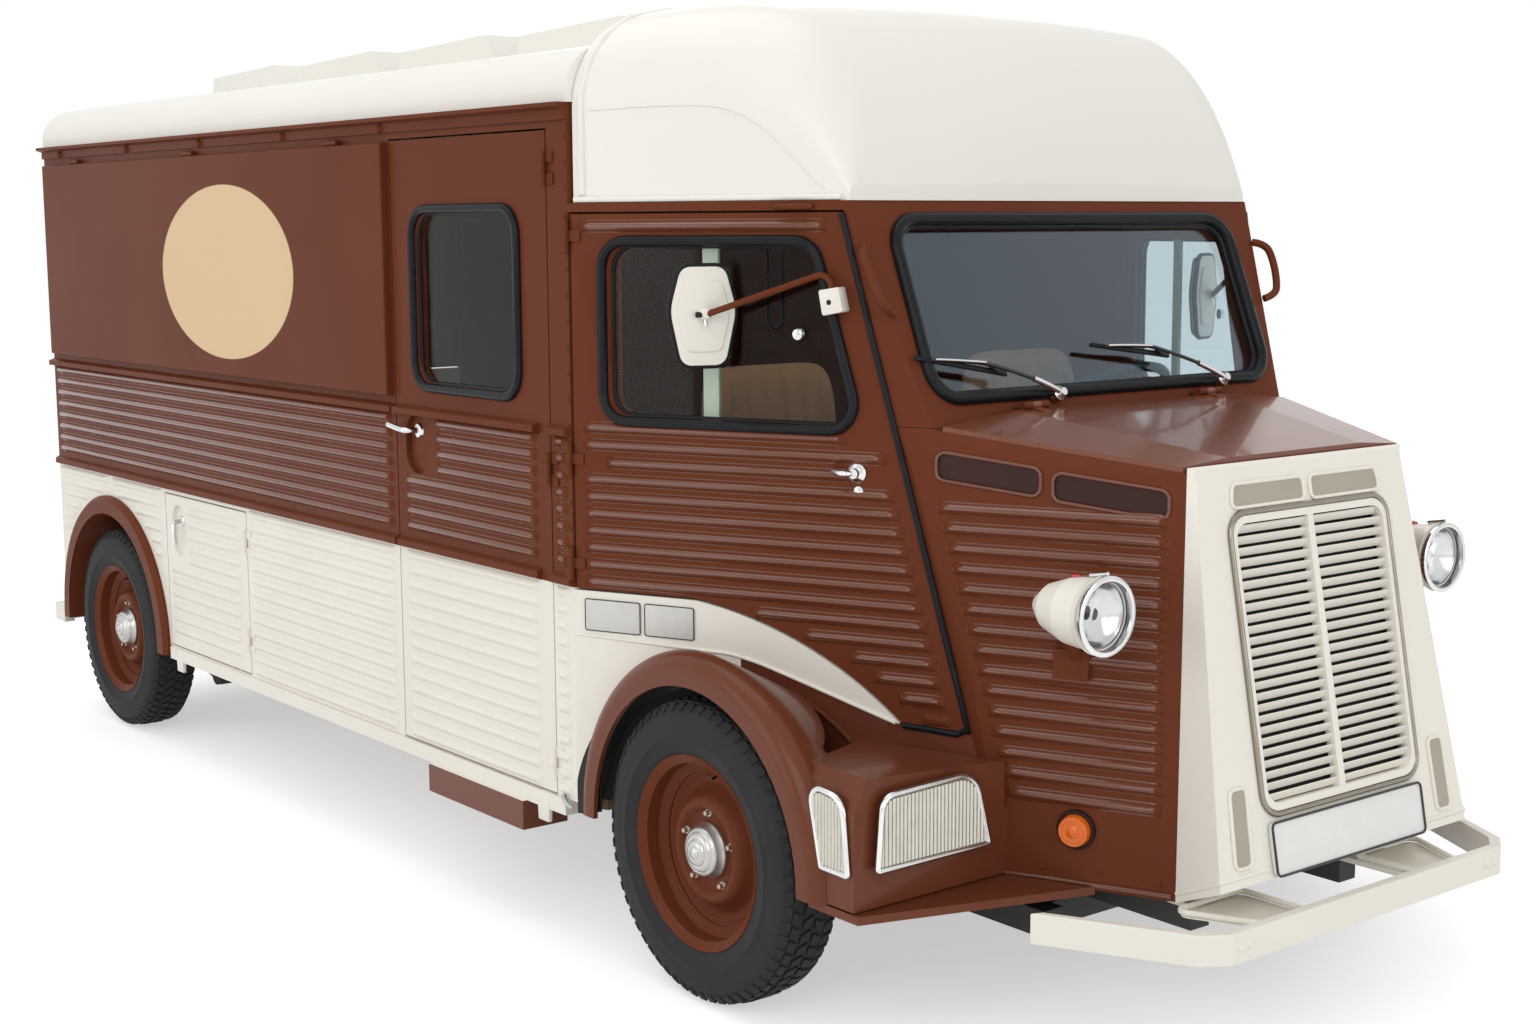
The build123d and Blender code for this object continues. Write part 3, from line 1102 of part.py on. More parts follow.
def steering_wheel():
    a = Vector(STEER_FOOT[0], 0, STEER_FOOT[1]) - Vector(STEER_CENTRE[0], 0, STEER_CENTRE[1])
    plane = Plane(origin=(STEER_CENTRE[0], STEER_Y, STEER_CENTRE[1]), x_dir=(0, 1, 0), z_dir=a)
    ring = plane * Torus(205, 13)
    hub = plane * Pos(0, 0, 12) * Cylinder(34, 55)
    spoke = plane * Box(400, 26, 10)
    return ring + [hub, spoke]


def car_seat(side):
    """Cushion on a box with an upright back; the seat is mirrored for the other side."""
    y = (side * 440 - 205, side * 440 + 205)
    base = block((-410, -140), tuple(sorted((side * 250, side * (WELL_INNER_Y - 18)))), (FLOOR_TOP + SEAT, 800))
    cushion = block((-430, 20), y, (795, 890))
    back = side_prism([(-450, 850), (-340, 850), (-390, 1420), (-466, 1420)], y)
    return base + [cushion, back]


def mirror_set():
    """Door mirror on its bent arm, carried by the door."""
    root = (170, -cab_half(170) - 2, 1600)
    head = (-110, -BODY_HALF + 115, 1560)
    arm = bar(root, head, 7)
    foot = Pos(root[0], root[1] - 1, root[2]) * Rot(0, 0, TAPER_ANGLE) * Box(40, 24, 46)
    plane = Plane(origin=head, x_dir=(0, 1, 0), z_dir=(1, -0.35, 0))
    glass = extrude(plane * RectangleRounded(150, 215, 50), amount=24)
    return (foot + [arm, glass]) - door_shape(1, RIGHT).intersect(CAB)


def step():
    return block((DOOR_REAR + 158, DOOR_FRONT - 130), (-BODY_HALF - 20, -BODY_HALF + 113), (SILL_LOW - 76, SILL_LOW))


def exhaust():
    z = FRAME_LOW - 30 - SEAT
    tail = REAR_AXLE + 1170
    return bar((-400, 150, z), (tail - 20, 150, z), 30) + bar((tail, 150, z), (tail, BODY_HALF - 25, z), 22)


def save(name, shapes, mirror_too=False):
    """Write one piece at the part's origin."""
    solids = shapes if isinstance(shapes, list) else [shapes]
    moved = [Pos(SHIFT, 0, 0) * s for s in solids]
    shape = moved[0] if len(moved) == 1 else Compound(children=moved)
    shape.label = name
    export_step(shape, os.path.join("parts", name + ".step"))


def pair(name, shape):
    save(name + "_right", shape)
    save(name + "_left", mirrored(shape))


def both(name, shape):
    """Like pieces on the two sides, in one file."""
    solids = shape if isinstance(shape, list) else [shape]
    save(name, solids + [mirrored(one) for one in solids])


def wheel_pair(prefix, x, y, z, part):
    save(prefix + "_right", Pos(x, -y, z) * part)
    save(prefix + "_left", Pos(x, y, z) * mirrored(part))


def build():
    os.makedirs("parts", exist_ok=True)
    save("side_upper_right", side_upper(True))
    save("side_upper_left", mirrored(side_upper(False)))
    save("body_sides_lower", [side_lower(True), mirrored(side_lower(False))])
    both("rear_arches", rear_arch())
    pair("cab_door", cab_door())
    pair("cab_door_glass", (GLASS_SKIN & cab_window(-WINDOW_EDGE - SEAT, RIGHT)))
    both("cab_lower_sides", cab_lower())
    both("nose_sides", nose_side())
    save("screen_frame", screen_frame())
    save("windscreen", windscreen())
    save("cab_roof", cab_roof())
    save("cargo_roof", cargo_roof())
    save("bonnet", bonnet())
    save("grille_shell", grille_shell())
    save("grille", grille())
    both("front_fenders", front_fender())
    wells = wheel_well()
    save("cab_tub", [wells, mirrored(wells), engine_cover()])
    rubber = tyre()
    steel = rim()
    wheel_pair("tyre_front", 0, WHEEL_Y, TYRE_RADIUS, rubber)
    wheel_pair("rim_front", 0, WHEEL_Y, TYRE_RADIUS, steel)
    wheel_pair("tyre_rear", REAR_AXLE, WHEEL_Y, TYRE_RADIUS, rubber)
    wheel_pair("rim_rear", REAR_AXLE, WHEEL_Y, TYRE_RADIUS, steel)
    pair("knuckle", knuckle())
    save("front_suspension", front_suspension())
    save("rear_suspension", rear_suspension())
    save("chassis_frame", chassis())
    save("body_floor", body_floor())
    beams = sills()
    save("sills", [beams[0] + step(), beams[1]])
    save("rear_frame", rear_frame())
    save("tailgate", tailgate())
    save("tailgate_glass", tailgate_glass())
    pair("rear_door", rear_door())
    save("side_door", side_door())
    save("side_door_glass", side_door_glass())
    save("serving_hatch", hatch())
    save("locker_door", locker_door())
    save("locker_box", locker_box())
    save("counter", counter())
    both("headlamps", headlamp())
    lens = headlamp_lens()
    save("front_bumper", front_bumper())
    save("rear_bumper", rear_bumper())
    save("lamps_clear", fender_lamps() + [lens, mirrored(lens)])
    save("lamps_signal", front_indicators() + tail_lamps())
    save("engine", engine())
    save("track_rod", track_rod())
    save("bulkhead", bulkhead())
    save("steering_wheel", steering_wheel())
    save("seats", [car_seat(-1), car_seat(1)])
    pair("mirror", mirror_set())
    save("exhaust", exhaust())


build()
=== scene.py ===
import math

import bpy
from mathutils import Matrix, Vector


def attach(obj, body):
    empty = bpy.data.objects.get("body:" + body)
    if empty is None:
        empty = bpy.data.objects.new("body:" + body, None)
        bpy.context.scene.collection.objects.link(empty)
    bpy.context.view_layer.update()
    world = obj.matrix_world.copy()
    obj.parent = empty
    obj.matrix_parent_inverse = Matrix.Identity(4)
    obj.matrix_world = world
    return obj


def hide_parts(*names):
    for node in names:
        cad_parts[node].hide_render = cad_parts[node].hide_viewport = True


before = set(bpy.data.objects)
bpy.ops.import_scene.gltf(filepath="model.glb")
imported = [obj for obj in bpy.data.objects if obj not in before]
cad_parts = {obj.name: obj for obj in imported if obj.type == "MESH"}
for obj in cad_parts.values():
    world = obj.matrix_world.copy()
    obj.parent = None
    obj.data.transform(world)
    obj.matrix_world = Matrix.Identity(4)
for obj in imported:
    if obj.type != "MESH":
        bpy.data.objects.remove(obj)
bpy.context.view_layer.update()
print("frame loaded")

axle = 1.46  # front axle station
rearAxle = axle - 3.45
bodyRear = axle - 3.95
side = 0.975  # half width of the body
taper = math.radians(23.9)  # the cab narrows by this angle
cabOut = Vector((math.sin(taper), -math.cos(taper), 0))  # outward from the right cab side
cabAlong = Vector((math.cos(taper), math.sin(taper), 0))
pillar = axle - 0.477  # station where the taper starts
pitch = 0.041


def cabY(x, out=0.0):  # half width of the cab side at a station
    return side - math.tan(taper) * (x - pillar) + out / math.cos(taper)


def cabPoint(x, z, out=0.0):  # a point on the right cab side, stood off by out
    return Vector((x, -cabY(x, out), z))


def seamX(z):  # slanting front seam of the cab door
    return axle + 0.176 + (1.790 - z) * 0.2493


def freshStart():
    if bpy.context.object and bpy.context.object.mode != "OBJECT":
        bpy.ops.object.mode_set(mode="OBJECT")
    bpy.ops.object.select_all(action="DESELECT")


def pick(piece):  # selects one piece alone
    freshStart()
    piece.select_set(True)
    bpy.context.view_layer.objects.active = piece


def dress(piece, name, finish, body, angle=35):
    piece.name = name
    piece.data.name = name
    piece.data.materials.clear()
    piece.data.materials.append(finishes[finish])
    pick(piece)
    bpy.ops.object.transform_apply(location=True, rotation=True, scale=True)
    if angle:
        bpy.ops.object.shade_smooth_by_angle(angle=math.radians(angle))
    if body:
        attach(piece, body)
    return piece


def outline(points, fill="NOTHING"):  # a ring of vertices moved onto the given points
    freshStart()
    bpy.ops.mesh.primitive_circle_add(vertices=len(points), radius=1, fill_type=fill)
    piece = bpy.context.object
    for vertex, point in zip(piece.data.vertices, points):
        vertex.co = point
    return piece


def closeUp():
    bpy.ops.mesh.select_all(action="SELECT")
    bpy.ops.mesh.remove_doubles(threshold=0.00002)
    bpy.ops.mesh.normals_make_consistent(inside=False)
    bpy.ops.object.mode_set(mode="OBJECT")


def bevelEdges(piece, width, segments=2, angle=40):
    bevel = piece.modifiers.new("edges", "BEVEL")
    bevel.width = width
    bevel.segments = segments
    bevel.limit_method = "ANGLE"
    bevel.angle_limit = math.radians(angle)
    pick(piece)
    bpy.ops.object.modifier_apply(modifier="edges")


def slab(name, points, push, finish, body, edge=0.0, segments=2):  # flat outline pushed to a thickness
    piece = outline(points, "NGON")
    bpy.ops.object.mode_set(mode="EDIT")
    bpy.ops.mesh.select_all(action="SELECT")
    bpy.ops.mesh.extrude_region_move(TRANSFORM_OT_translate={"value": Vector(push)})
    closeUp()
    if edge:
        bevelEdges(piece, edge, segments)
    return dress(piece, name, finish, body)


def turned(name, profile, centre, axis, finish, body, steps=48, angle=35):  # spins (along, radius)
    centre = Vector(centre)
    axis = Vector(axis).normalized()
    across = axis.orthogonal().normalized()
    piece = outline([centre + axis * u + across * r for u, r in profile])
    bpy.ops.object.mode_set(mode="EDIT")
    bpy.ops.mesh.select_all(action="SELECT")
    bpy.ops.mesh.spin(steps=steps, angle=math.tau, center=centre, axis=axis)
    closeUp()
    return dress(piece, name, finish, body, angle)


def tube(name, points, radius, finish, body, closed=False, smooth=False, sides=2):  # a round bar
    freshStart()
    bpy.ops.curve.primitive_nurbs_path_add()
    piece = bpy.context.object
    curve = piece.data
    curve.splines.clear()
    spline = curve.splines.new("NURBS" if smooth else "POLY")
    spline.points.add(len(points) - 1)
    for handle, point in zip(spline.points, points):
        handle.co = (point[0], point[1], point[2], 1)
    spline.use_cyclic_u = closed
    if smooth:
        spline.order_u = 3
        spline.use_endpoint_u = not closed
        spline.resolution_u = 6
    curve.bevel_depth = radius
    curve.bevel_resolution = sides
    curve.use_fill_caps = True
    bpy.ops.object.convert(target="MESH")
    return dress(bpy.context.object, name, finish, body, 50)


def roundedLoop(corners, radius, steps=6):  # corners joined by arcs; radius is one number or one for each
    points = []
    count = len(corners)
    for i in range(count):
        bend = radius[i] if isinstance(radius, (list, tuple)) else radius
        here = Vector(corners[i])
        a = (Vector(corners[i - 1]) - here).normalized()
        b = (Vector(corners[(i + 1) % count]) - here).normalized()
        half = a.angle(b) / 2
        reach = bend / math.tan(half)
        middle = here + (a + b).normalized() * (bend / math.sin(half))
        first = here + a * reach - middle
        last = here + b * reach - middle
        for k in range(steps + 1):
            t = k / steps
            points.append(middle + first.normalized().slerp(last.normalized(), t) * bend)
    return points


def rectangle(at, x, z):  # four corners, by a rule that takes a place across and a height
    return [at(x[0], z[1]), at(x[1], z[1]), at(x[1], z[0]), at(x[0], z[0])]


def flatWall(y):  # the rule of an upright wall along the vehicle
    return lambda x, z: Vector((x, y, z))


def crossWall(x):  # the rule of an upright wall across the vehicle
    return lambda y, z: Vector((x, y, z))


def joinUp(pieces, name, finish, body, angle=35):
    freshStart()
    for piece in pieces:
        piece.select_set(True)
    bpy.context.view_layer.objects.active = pieces[0]
    if len(pieces) > 1:
        bpy.ops.object.join()
    return dress(bpy.context.object, name, finish, body, angle)


def mirrorOver(piece, body="body", name=None):  # the same piece on the vehicle's left side
    name = name or piece.name.replace("Right", "Left")
    pick(piece)
    bpy.ops.object.duplicate()
    twin = bpy.context.object
    twin.parent = None
    twin.matrix_world = Matrix.Identity(4)
    for vertex in twin.data.vertices:
        vertex.co.y = -vertex.co.y
    bpy.ops.object.mode_set(mode="EDIT")
    bpy.ops.mesh.select_all(action="SELECT")
    bpy.ops.mesh.flip_normals()
    bpy.ops.object.mode_set(mode="OBJECT")
    twin.name = name
    twin.data.name = name
    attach(twin, body.replace("right", "left"))
    return twin


def addMath(tree, operation, *values, kind="Math", result=0):  # a math node fed by sockets or by plain values
    step = tree.nodes.new("ShaderNode" + kind)
    step.operation = operation
    for slot, value in zip(step.inputs, values):
        if isinstance(value, bpy.types.NodeSocket):
            tree.links.new(value, slot)
        else:
            slot.default_value = value
    return step.outputs[result]


def placeOf(tree):  # where a point of the surface lies on the object
    return tree.nodes.new("ShaderNodeTexCoord").outputs["Object"]


def blendBase(tree, mask, other):  # lays another colour over the base colour where the mask is 1
    base = tree.nodes["Principled BSDF"].inputs["Base Color"]
    blend = tree.nodes.new("ShaderNodeMix")
    blend.data_type = "RGBA"
    tree.links.new(mask, blend.inputs[0])
    tree.links.new(base.links[0].from_socket, blend.inputs[6])
    if isinstance(other, tuple):
        blend.inputs[7].default_value = (*other, 1)
    else:
        tree.links.new(other, blend.inputs[7])
    tree.links.new(blend.outputs[2], base)


def buildFinishGroup():  # colour drift, roughness drift and a faint skin relief, shared by most finishes
    group = bpy.data.node_groups.new("surfaceDrift", "ShaderNodeTree")
    face = group.interface
    for label, kind, value in (("Base", "NodeSocketColor", (1, 1, 1, 1)), ("Drift", "NodeSocketColor", (1, 1, 1, 1)),
                               ("Amount", "NodeSocketFloat", 0.3), ("Scale", "NodeSocketFloat", 6.0),
                               ("Fine", "NodeSocketFloat", 90.0),
                               ("Smooth", "NodeSocketFloat", 0.2), ("Rough", "NodeSocketFloat", 0.35)):
        face.new_socket(name=label, in_out="INPUT", socket_type=kind).default_value = value
    for label, kind in (("Colour", "NodeSocketColor"), ("Roughness", "NodeSocketFloat"),
                        ("Height", "NodeSocketFloat")):
        face.new_socket(name=label, in_out="OUTPUT", socket_type=kind)
    node = group.nodes.new
    join = group.links.new
    inside = node("NodeGroupInput")
    outside = node("NodeGroupOutput")
    place = placeOf(group)
    noises = []
    for size, detail in (("Scale", 4), ("Fine", 3)):
        noise = node("ShaderNodeTexNoise")
        noise.inputs["Detail"].default_value = detail
        join(place, noise.inputs["Vector"])
        join(inside.outputs[size], noise.inputs["Scale"])
        noises.append(noise.outputs["Fac"])
    broad, fine = noises
    spread = node("ShaderNodeMapRange")
    spread.inputs["From Min"].default_value = 0.35
    spread.inputs["From Max"].default_value = 0.7
    join(broad, spread.inputs["Value"])
    share = addMath(group, "MULTIPLY", spread.outputs["Result"], inside.outputs["Amount"])
    blend = node("ShaderNodeMix")
    blend.data_type = "RGBA"
    join(share, blend.inputs[0])
    join(inside.outputs["Base"], blend.inputs[6])
    join(inside.outputs["Drift"], blend.inputs[7])
    polish = node("ShaderNodeMapRange")
    join(broad, polish.inputs["Value"])
    join(inside.outputs["Smooth"], polish.inputs["To Min"])
    join(inside.outputs["Rough"], polish.inputs["To Max"])
    join(blend.outputs[2], outside.inputs["Colour"])
    join(polish.outputs["Result"], outside.inputs["Roughness"])
    join(fine, outside.inputs["Height"])
    return group


driftGroup = buildFinishGroup()


def finishOf(name, look):
    colour, drifted, scale, smooth, rough, extra = look
    material = bpy.data.materials.new(name)
    material.use_nodes = True
    tree = material.node_tree
    shader = tree.nodes["Principled BSDF"]
    drift = tree.nodes.new("ShaderNodeGroup")
    drift.node_tree = driftGroup
    for label, value in (("Base", (*colour, 1)), ("Drift", (*drifted, 1)), ("Amount", extra.get("amount", 0.5)),
                         ("Scale", scale), ("Fine", extra.get("fine", 120)), ("Smooth", smooth), ("Rough", rough)):
        drift.inputs[label].default_value = value
    tree.links.new(drift.outputs["Colour"], shader.inputs["Base Color"])
    tree.links.new(drift.outputs["Roughness"], shader.inputs["Roughness"])
    if extra.get("relief"):
        bump = tree.nodes.new("ShaderNodeBump")
        bump.inputs["Strength"].default_value = extra["relief"]
        bump.inputs["Distance"].default_value = 0.001
        tree.links.new(drift.outputs["Height"], bump.inputs["Height"])
        tree.links.new(bump.outputs["Normal"], shader.inputs["Normal"])
    for label, key, plain in (("Metallic", "metal", 0.0), ("Coat Weight", "coat", 0.0),
                              ("Transmission Weight", "clear", 0.0),
                              ("IOR", "ior", 1.5), ("Specular IOR Level", "gloss", 0.5)):
        shader.inputs[label].default_value = extra.get(key, plain)
    shader.inputs["Coat Roughness"].default_value = 0.06
    shader.inputs["Specular Tint"].default_value = (*extra.get("tint", (1, 1, 1)), 1)
    return material


looks = {  # colour, colour it drifts to, size of the drift, roughness from, to, and what else is set
    "brownPaint": ((0.148, 0.04, 0.019), (0.122, 0.031, 0.014), 2.2, 0.26, 0.42,
        {"coat": 0.02, "gloss": 0.04, "relief": 0.03}),
    # a lighter copy of the brown paint: painted highlight for the sky's sheen on the bonnet's top
    "bonnetPaint": ((0.19, 0.056, 0.028), (0.16, 0.044, 0.021), 1.8, 0.2, 0.34,
        {"coat": 0.45, "gloss": 0.25, "relief": 0.03}),
    "fenderPaint": ((0.15, 0.042, 0.02), (0.126, 0.033, 0.015), 1.8, 0.24, 0.38,
        {"coat": 0.15, "gloss": 0.12, "relief": 0.03}),
    "ribPaint": ((0.148, 0.04, 0.019), (0.122, 0.031, 0.014), 2.2, 0.16, 0.3,
        {"coat": 0.35, "gloss": 0.45, "relief": 0.03}),
    "creamPaint": ((0.85, 0.815, 0.735), (0.81, 0.77, 0.685), 2.5, 0.3, 0.44,
        {"amount": 0.6, "coat": 0.12, "gloss": 0.25, "relief": 0.03}),
    "roofPaint": ((0.84, 0.82, 0.76), (0.81, 0.785, 0.72), 1.6, 0.36, 0.5,
        {"amount": 0.6, "coat": 0.15, "gloss": 0.35, "relief": 0.03}),
    "panelBeige": ((0.43, 0.39, 0.31), (0.38, 0.34, 0.27), 9, 0.4, 0.55, {"gloss": 0.2}),
    "rubber": ((0.008, 0.009, 0.011), (0.016, 0.017, 0.019), 14, 0.22, 0.4, {"gloss": 0.14, "relief": 0.05}),
    "tyreRubber": ((0.016, 0.016, 0.018), (0.04, 0.038, 0.036), 9, 0.6, 0.85,
        {"gloss": 0.25, "relief": 0.25, "fine": 260}),
    "chrome": ((0.72, 0.72, 0.72), (0.55, 0.54, 0.53), 12, 0.08, 0.22, {"metal": 1.0}),
    "hubSilver": ((0.55, 0.54, 0.52), (0.42, 0.4, 0.38), 18, 0.22, 0.42, {"metal": 0.9, "relief": 0.08}),
    "steelSheet": ((0.42, 0.42, 0.41), (0.33, 0.33, 0.32), 6, 0.25, 0.45, {"metal": 1.0}),
    "framePaint": ((0.022, 0.021, 0.02), (0.06, 0.05, 0.04), 7, 0.5, 0.8, {"relief": 0.2}),
    "castIron": ((0.05, 0.05, 0.05), (0.09, 0.075, 0.06), 11, 0.6, 0.9, {"relief": 0.5}),
    "greyCloth": ((0.1, 0.1, 0.085), (0.075, 0.075, 0.064), 8, 0.7, 0.9, {"relief": 0.3, "fine": 400}),
    "tubPaint": ((0.022, 0.022, 0.02), (0.035, 0.034, 0.03), 6, 0.6, 0.85, {"gloss": 0.3, "relief": 0.3}),
    "tanLeather": ((0.38, 0.2, 0.095), (0.29, 0.145, 0.065), 10, 0.4, 0.6, {"relief": 0.5, "fine": 320}),
    "blackPlastic": ((0.015, 0.015, 0.016), (0.03, 0.03, 0.031), 9, 0.35, 0.5, {"relief": 0.05}),
    "whiteEnamel": ((0.7, 0.7, 0.67), (0.62, 0.61, 0.57), 5, 0.3, 0.5, {}),
    "plateWhite": ((0.78, 0.78, 0.76), (0.72, 0.72, 0.69), 20, 0.3, 0.42, {"coat": 0.3}),
    "deepShade": ((0.006, 0.006, 0.006), (0.012, 0.011, 0.01), 8, 0.8, 0.95, {}),
    "amberLens": ((0.86, 0.17, 0.012), (0.72, 0.12, 0.01), 30, 0.15, 0.25, {"clear": 0.1, "coat": 0.2, "gloss": 0.3}),
    "redLens": ((0.55, 0.01, 0.008), (0.4, 0.008, 0.006), 30, 0.1, 0.2, {"clear": 0.3, "coat": 0.5}),
    "lampGlass": ((0.93, 0.94, 0.95), (0.85, 0.87, 0.88), 40, 0.03, 0.1, {"clear": 1.0, "ior": 1.45}),
    "reedGlass": ((0.62, 0.6, 0.52), (0.5, 0.48, 0.41), 30, 0.06, 0.16, {"metal": 0.3, "coat": 0.8}),
    "sideGlass": ((0.78, 0.81, 0.8), (0.74, 0.77, 0.76), 3, 0.0, 0.02, {"clear": 1.0, "ior": 1.18}),
    "screenGlass": ((0.64, 0.77, 0.84), (0.6, 0.73, 0.8), 2, 0.0, 0.03,
        {"clear": 1.0, "ior": 1.62, "tint": (0.62, 0.8, 0.95)}),
    "badgeGrey": ((0.66, 0.65, 0.62), (0.58, 0.57, 0.54), 25, 0.3, 0.45, {}),
    "nutSteel": ((0.46, 0.38, 0.32), (0.33, 0.26, 0.21), 40, 0.25, 0.42, {"metal": 0.8}),
    "bronzeTrim": ((0.3, 0.27, 0.22), (0.2, 0.18, 0.15), 14, 0.18, 0.34, {"metal": 0.9}),
    # dark brown: painted shade at the backs of the nose's slots, and the own dark colour of the indicator bezel rings
    "slotShade": ((0.04, 0.014, 0.01), (0.028, 0.01, 0.008), 9, 0.35, 0.55, {"gloss": 0.2}),
    "postGreen": ((0.42, 0.5, 0.4), (0.35, 0.42, 0.33), 6, 0.35, 0.5, {}),
    "mirrorFace": ((0.85, 0.86, 0.87), (0.8, 0.81, 0.82), 3, 0.01, 0.03, {"metal": 1.0}),
    "woodBoard": ((0.2, 0.12, 0.065), (0.14, 0.08, 0.04), 5, 0.5, 0.7, {"relief": 0.3}),
}
finishes = {name: finishOf(name, look) for name, look in looks.items()}


def hatchFinish():  # brown paint with a bare pale oval on it
    oval = {"x": axle - 2.37, "z": 1.627, "halfLong": 0.475, "halfHigh": 0.265, "colour": (0.74, 0.545, 0.33)}
    material = finishOf("hatchPaint", looks["brownPaint"])
    tree = material.node_tree
    split = tree.nodes.new("ShaderNodeSeparateXYZ")
    tree.links.new(placeOf(tree), split.inputs[0])
    squares = []
    for label, centre, half in (("X", oval["x"], oval["halfLong"]), ("Z", oval["z"], oval["halfHigh"])):
        ratio = addMath(tree, "DIVIDE", addMath(tree, "SUBTRACT", split.outputs[label], centre), half)
        squares.append(addMath(tree, "MULTIPLY", ratio, ratio))
    rim = tree.nodes.new("ShaderNodeMapRange")
    rim.inputs["From Min"].default_value = 1.01
    rim.inputs["From Max"].default_value = 0.99
    tree.links.new(addMath(tree, "ADD", *squares), rim.inputs["Value"])
    blendBase(tree, rim.outputs["Result"], oval["colour"])
    return material


def twoTone(name, main, other, direction, reach):  # the other paint shows past this reach along the direction
    material = finishOf(name, looks[main])
    tree = material.node_tree
    second = tree.nodes.new("ShaderNodeGroup")
    second.node_tree = driftGroup
    for label, value in (("Base", (*looks[other][0], 1)), ("Drift", (*looks[other][1], 1)),
                         ("Scale", looks[other][2])):
        second.inputs[label].default_value = value
    along = addMath(tree, "DOT_PRODUCT", placeOf(tree), direction, kind="VectorMath", result="Value")
    blendBase(tree, addMath(tree, "GREATER_THAN", along, reach), second.outputs["Colour"])
    return material


def shadeWheelhouse(material):  # brown below the pale strip, and behind the axle painted shade: near-black inside the fender's cone, where the fender keeps the light off the cab side
    cone = {"height": 0.352, "start": -0.0036, "slope": 0.498, "split": axle - 0.06, "fall": 0.33,
            "strip": 0.757 + 0.33 * axle, "ahead": (0.125, 0.033, 0.016), "behind": (0.012, 0.012, 0.012)}
    tree = material.node_tree
    place = placeOf(tree)
    split = tree.nodes.new("ShaderNodeSeparateXYZ")
    tree.links.new(place, split.inputs[0])
    x, y = split.outputs["X"], split.outputs["Y"]

    def number(operation, *values):
        return addMath(tree, operation, *values)

    def vector(operation, *values, result="Vector"):
        return addMath(tree, operation, *values, kind="VectorMath", result=result)

    away = vector("MULTIPLY", vector("SUBTRACT", place, (axle, 0, cone["height"])), (1, 0, 1))
    reach = vector("LENGTH", away, result="Value")
    wall = number("ADD", number("MULTIPLY", number("ABSOLUTE", y), cone["slope"]), cone["start"])
    behind = number("MULTIPLY", number("LESS_THAN", reach, wall), number("LESS_THAN", x, cone["split"]))
    level = vector("DOT_PRODUCT", place, (cone["fall"], 0, 1), result="Value")
    ahead = number("MULTIPLY", number("LESS_THAN", level, cone["strip"]), number("GREATER_THAN", x, cone["split"]))
    # painted shade: near-black over the cab side inside the fender's cone behind the axle
    blendBase(tree, behind, cone["behind"])
    blendBase(tree, ahead, cone["ahead"])


paintLine = {"waist": 0.900, "sillFoot": 0.3245, "lean": 0.35, "x": 0.312, "z": 0.640}
finishes["hatchPaint"] = hatchFinish()
finishes["doorPaint"] = twoTone("doorPaint", "brownPaint", "creamPaint", (0, 0, -1), -paintLine["waist"])
finishes["sillPaint"] = twoTone("sillPaint", "creamPaint", "brownPaint", (0, 0, -1), -paintLine["sillFoot"])
finishes["cabSillPaint"] = twoTone("cabSillPaint", "creamPaint", "brownPaint", (1, 0, paintLine["lean"]),
                                   axle + paintLine["x"] + paintLine["lean"] * paintLine["z"])
shadeWheelhouse(finishes["cabSillPaint"])
print("finishes made")

nodeFinish = {
    "bonnetPaint": ["bonnet"],
    "fenderPaint": ["front_fenders"],
    "doorPaint": ["side_door"],
    "cabSillPaint": ["cab_lower_sides"],
    "brownPaint": ["cab_door_left", "cab_door_right", "rear_arches", "rear_frame", "side_upper_left",
                   "side_upper_right", "tailgate", "rim_front_left", "rim_front_right", "rim_rear_left",
                   "rim_rear_right", "nose_sides", "screen_frame"],
    "sillPaint": ["sills"],
    "hatchPaint": ["serving_hatch"],
    "creamPaint": ["body_sides_lower", "front_bumper", "grille_shell", "headlamps", "rear_bumper", "rear_door_left",
                   "rear_door_right", "locker_door", "grille"],
    "roofPaint": ["cab_roof", "cargo_roof"],
    "greyCloth": ["bulkhead"],
    "tubPaint": ["cab_tub"],
    "sideGlass": ["cab_door_glass_left", "cab_door_glass_right", "side_door_glass", "tailgate_glass"],
    "screenGlass": ["windscreen"],
    "lampGlass": ["lamps_clear"],
    "amberLens": ["lamps_signal"],
    "framePaint": ["chassis_frame", "front_suspension", "rear_suspension", "knuckle_left", "knuckle_right",
                   "track_rod"],
    "woodBoard": ["body_floor"],
    "steelSheet": ["counter", "exhaust"],
    "castIron": ["engine"],
    "whiteEnamel": ["locker_box"],
    "blackPlastic": ["steering_wheel"],
    "tyreRubber": ["tyre_front_left", "tyre_front_right", "tyre_rear_left", "tyre_rear_right"],
}
for finish, names in nodeFinish.items():
    for name in names:
        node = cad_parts[name]
        node.data.materials.clear()
        node.data.materials.append(finishes[finish])


softEdge = {"front_bumper": 0.003, "front_fenders": 0.003, "serving_hatch": 0.003, "side_door": 0.003,
            "cab_door_right": 0.002, "cab_door_left": 0.002, "locker_door": 0.003, "rear_bumper": 0.003,
            "nose_sides": 0.002}
for name, width in softEdge.items():  # pressed edges are a little round
    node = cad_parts[name]
    weld = node.modifiers.new("weld", "WELD")
    weld.merge_threshold = 0.00002
    soft = node.modifiers.new("softEdge", "BEVEL")
    soft.width = width
    soft.segments = 2
    soft.limit_method = "ANGLE"
    soft.angle_limit = math.radians(38)


bead = {"width": 0.031, "height": 0.0120, "run": 0.030, "across": 8, "ring": 5}


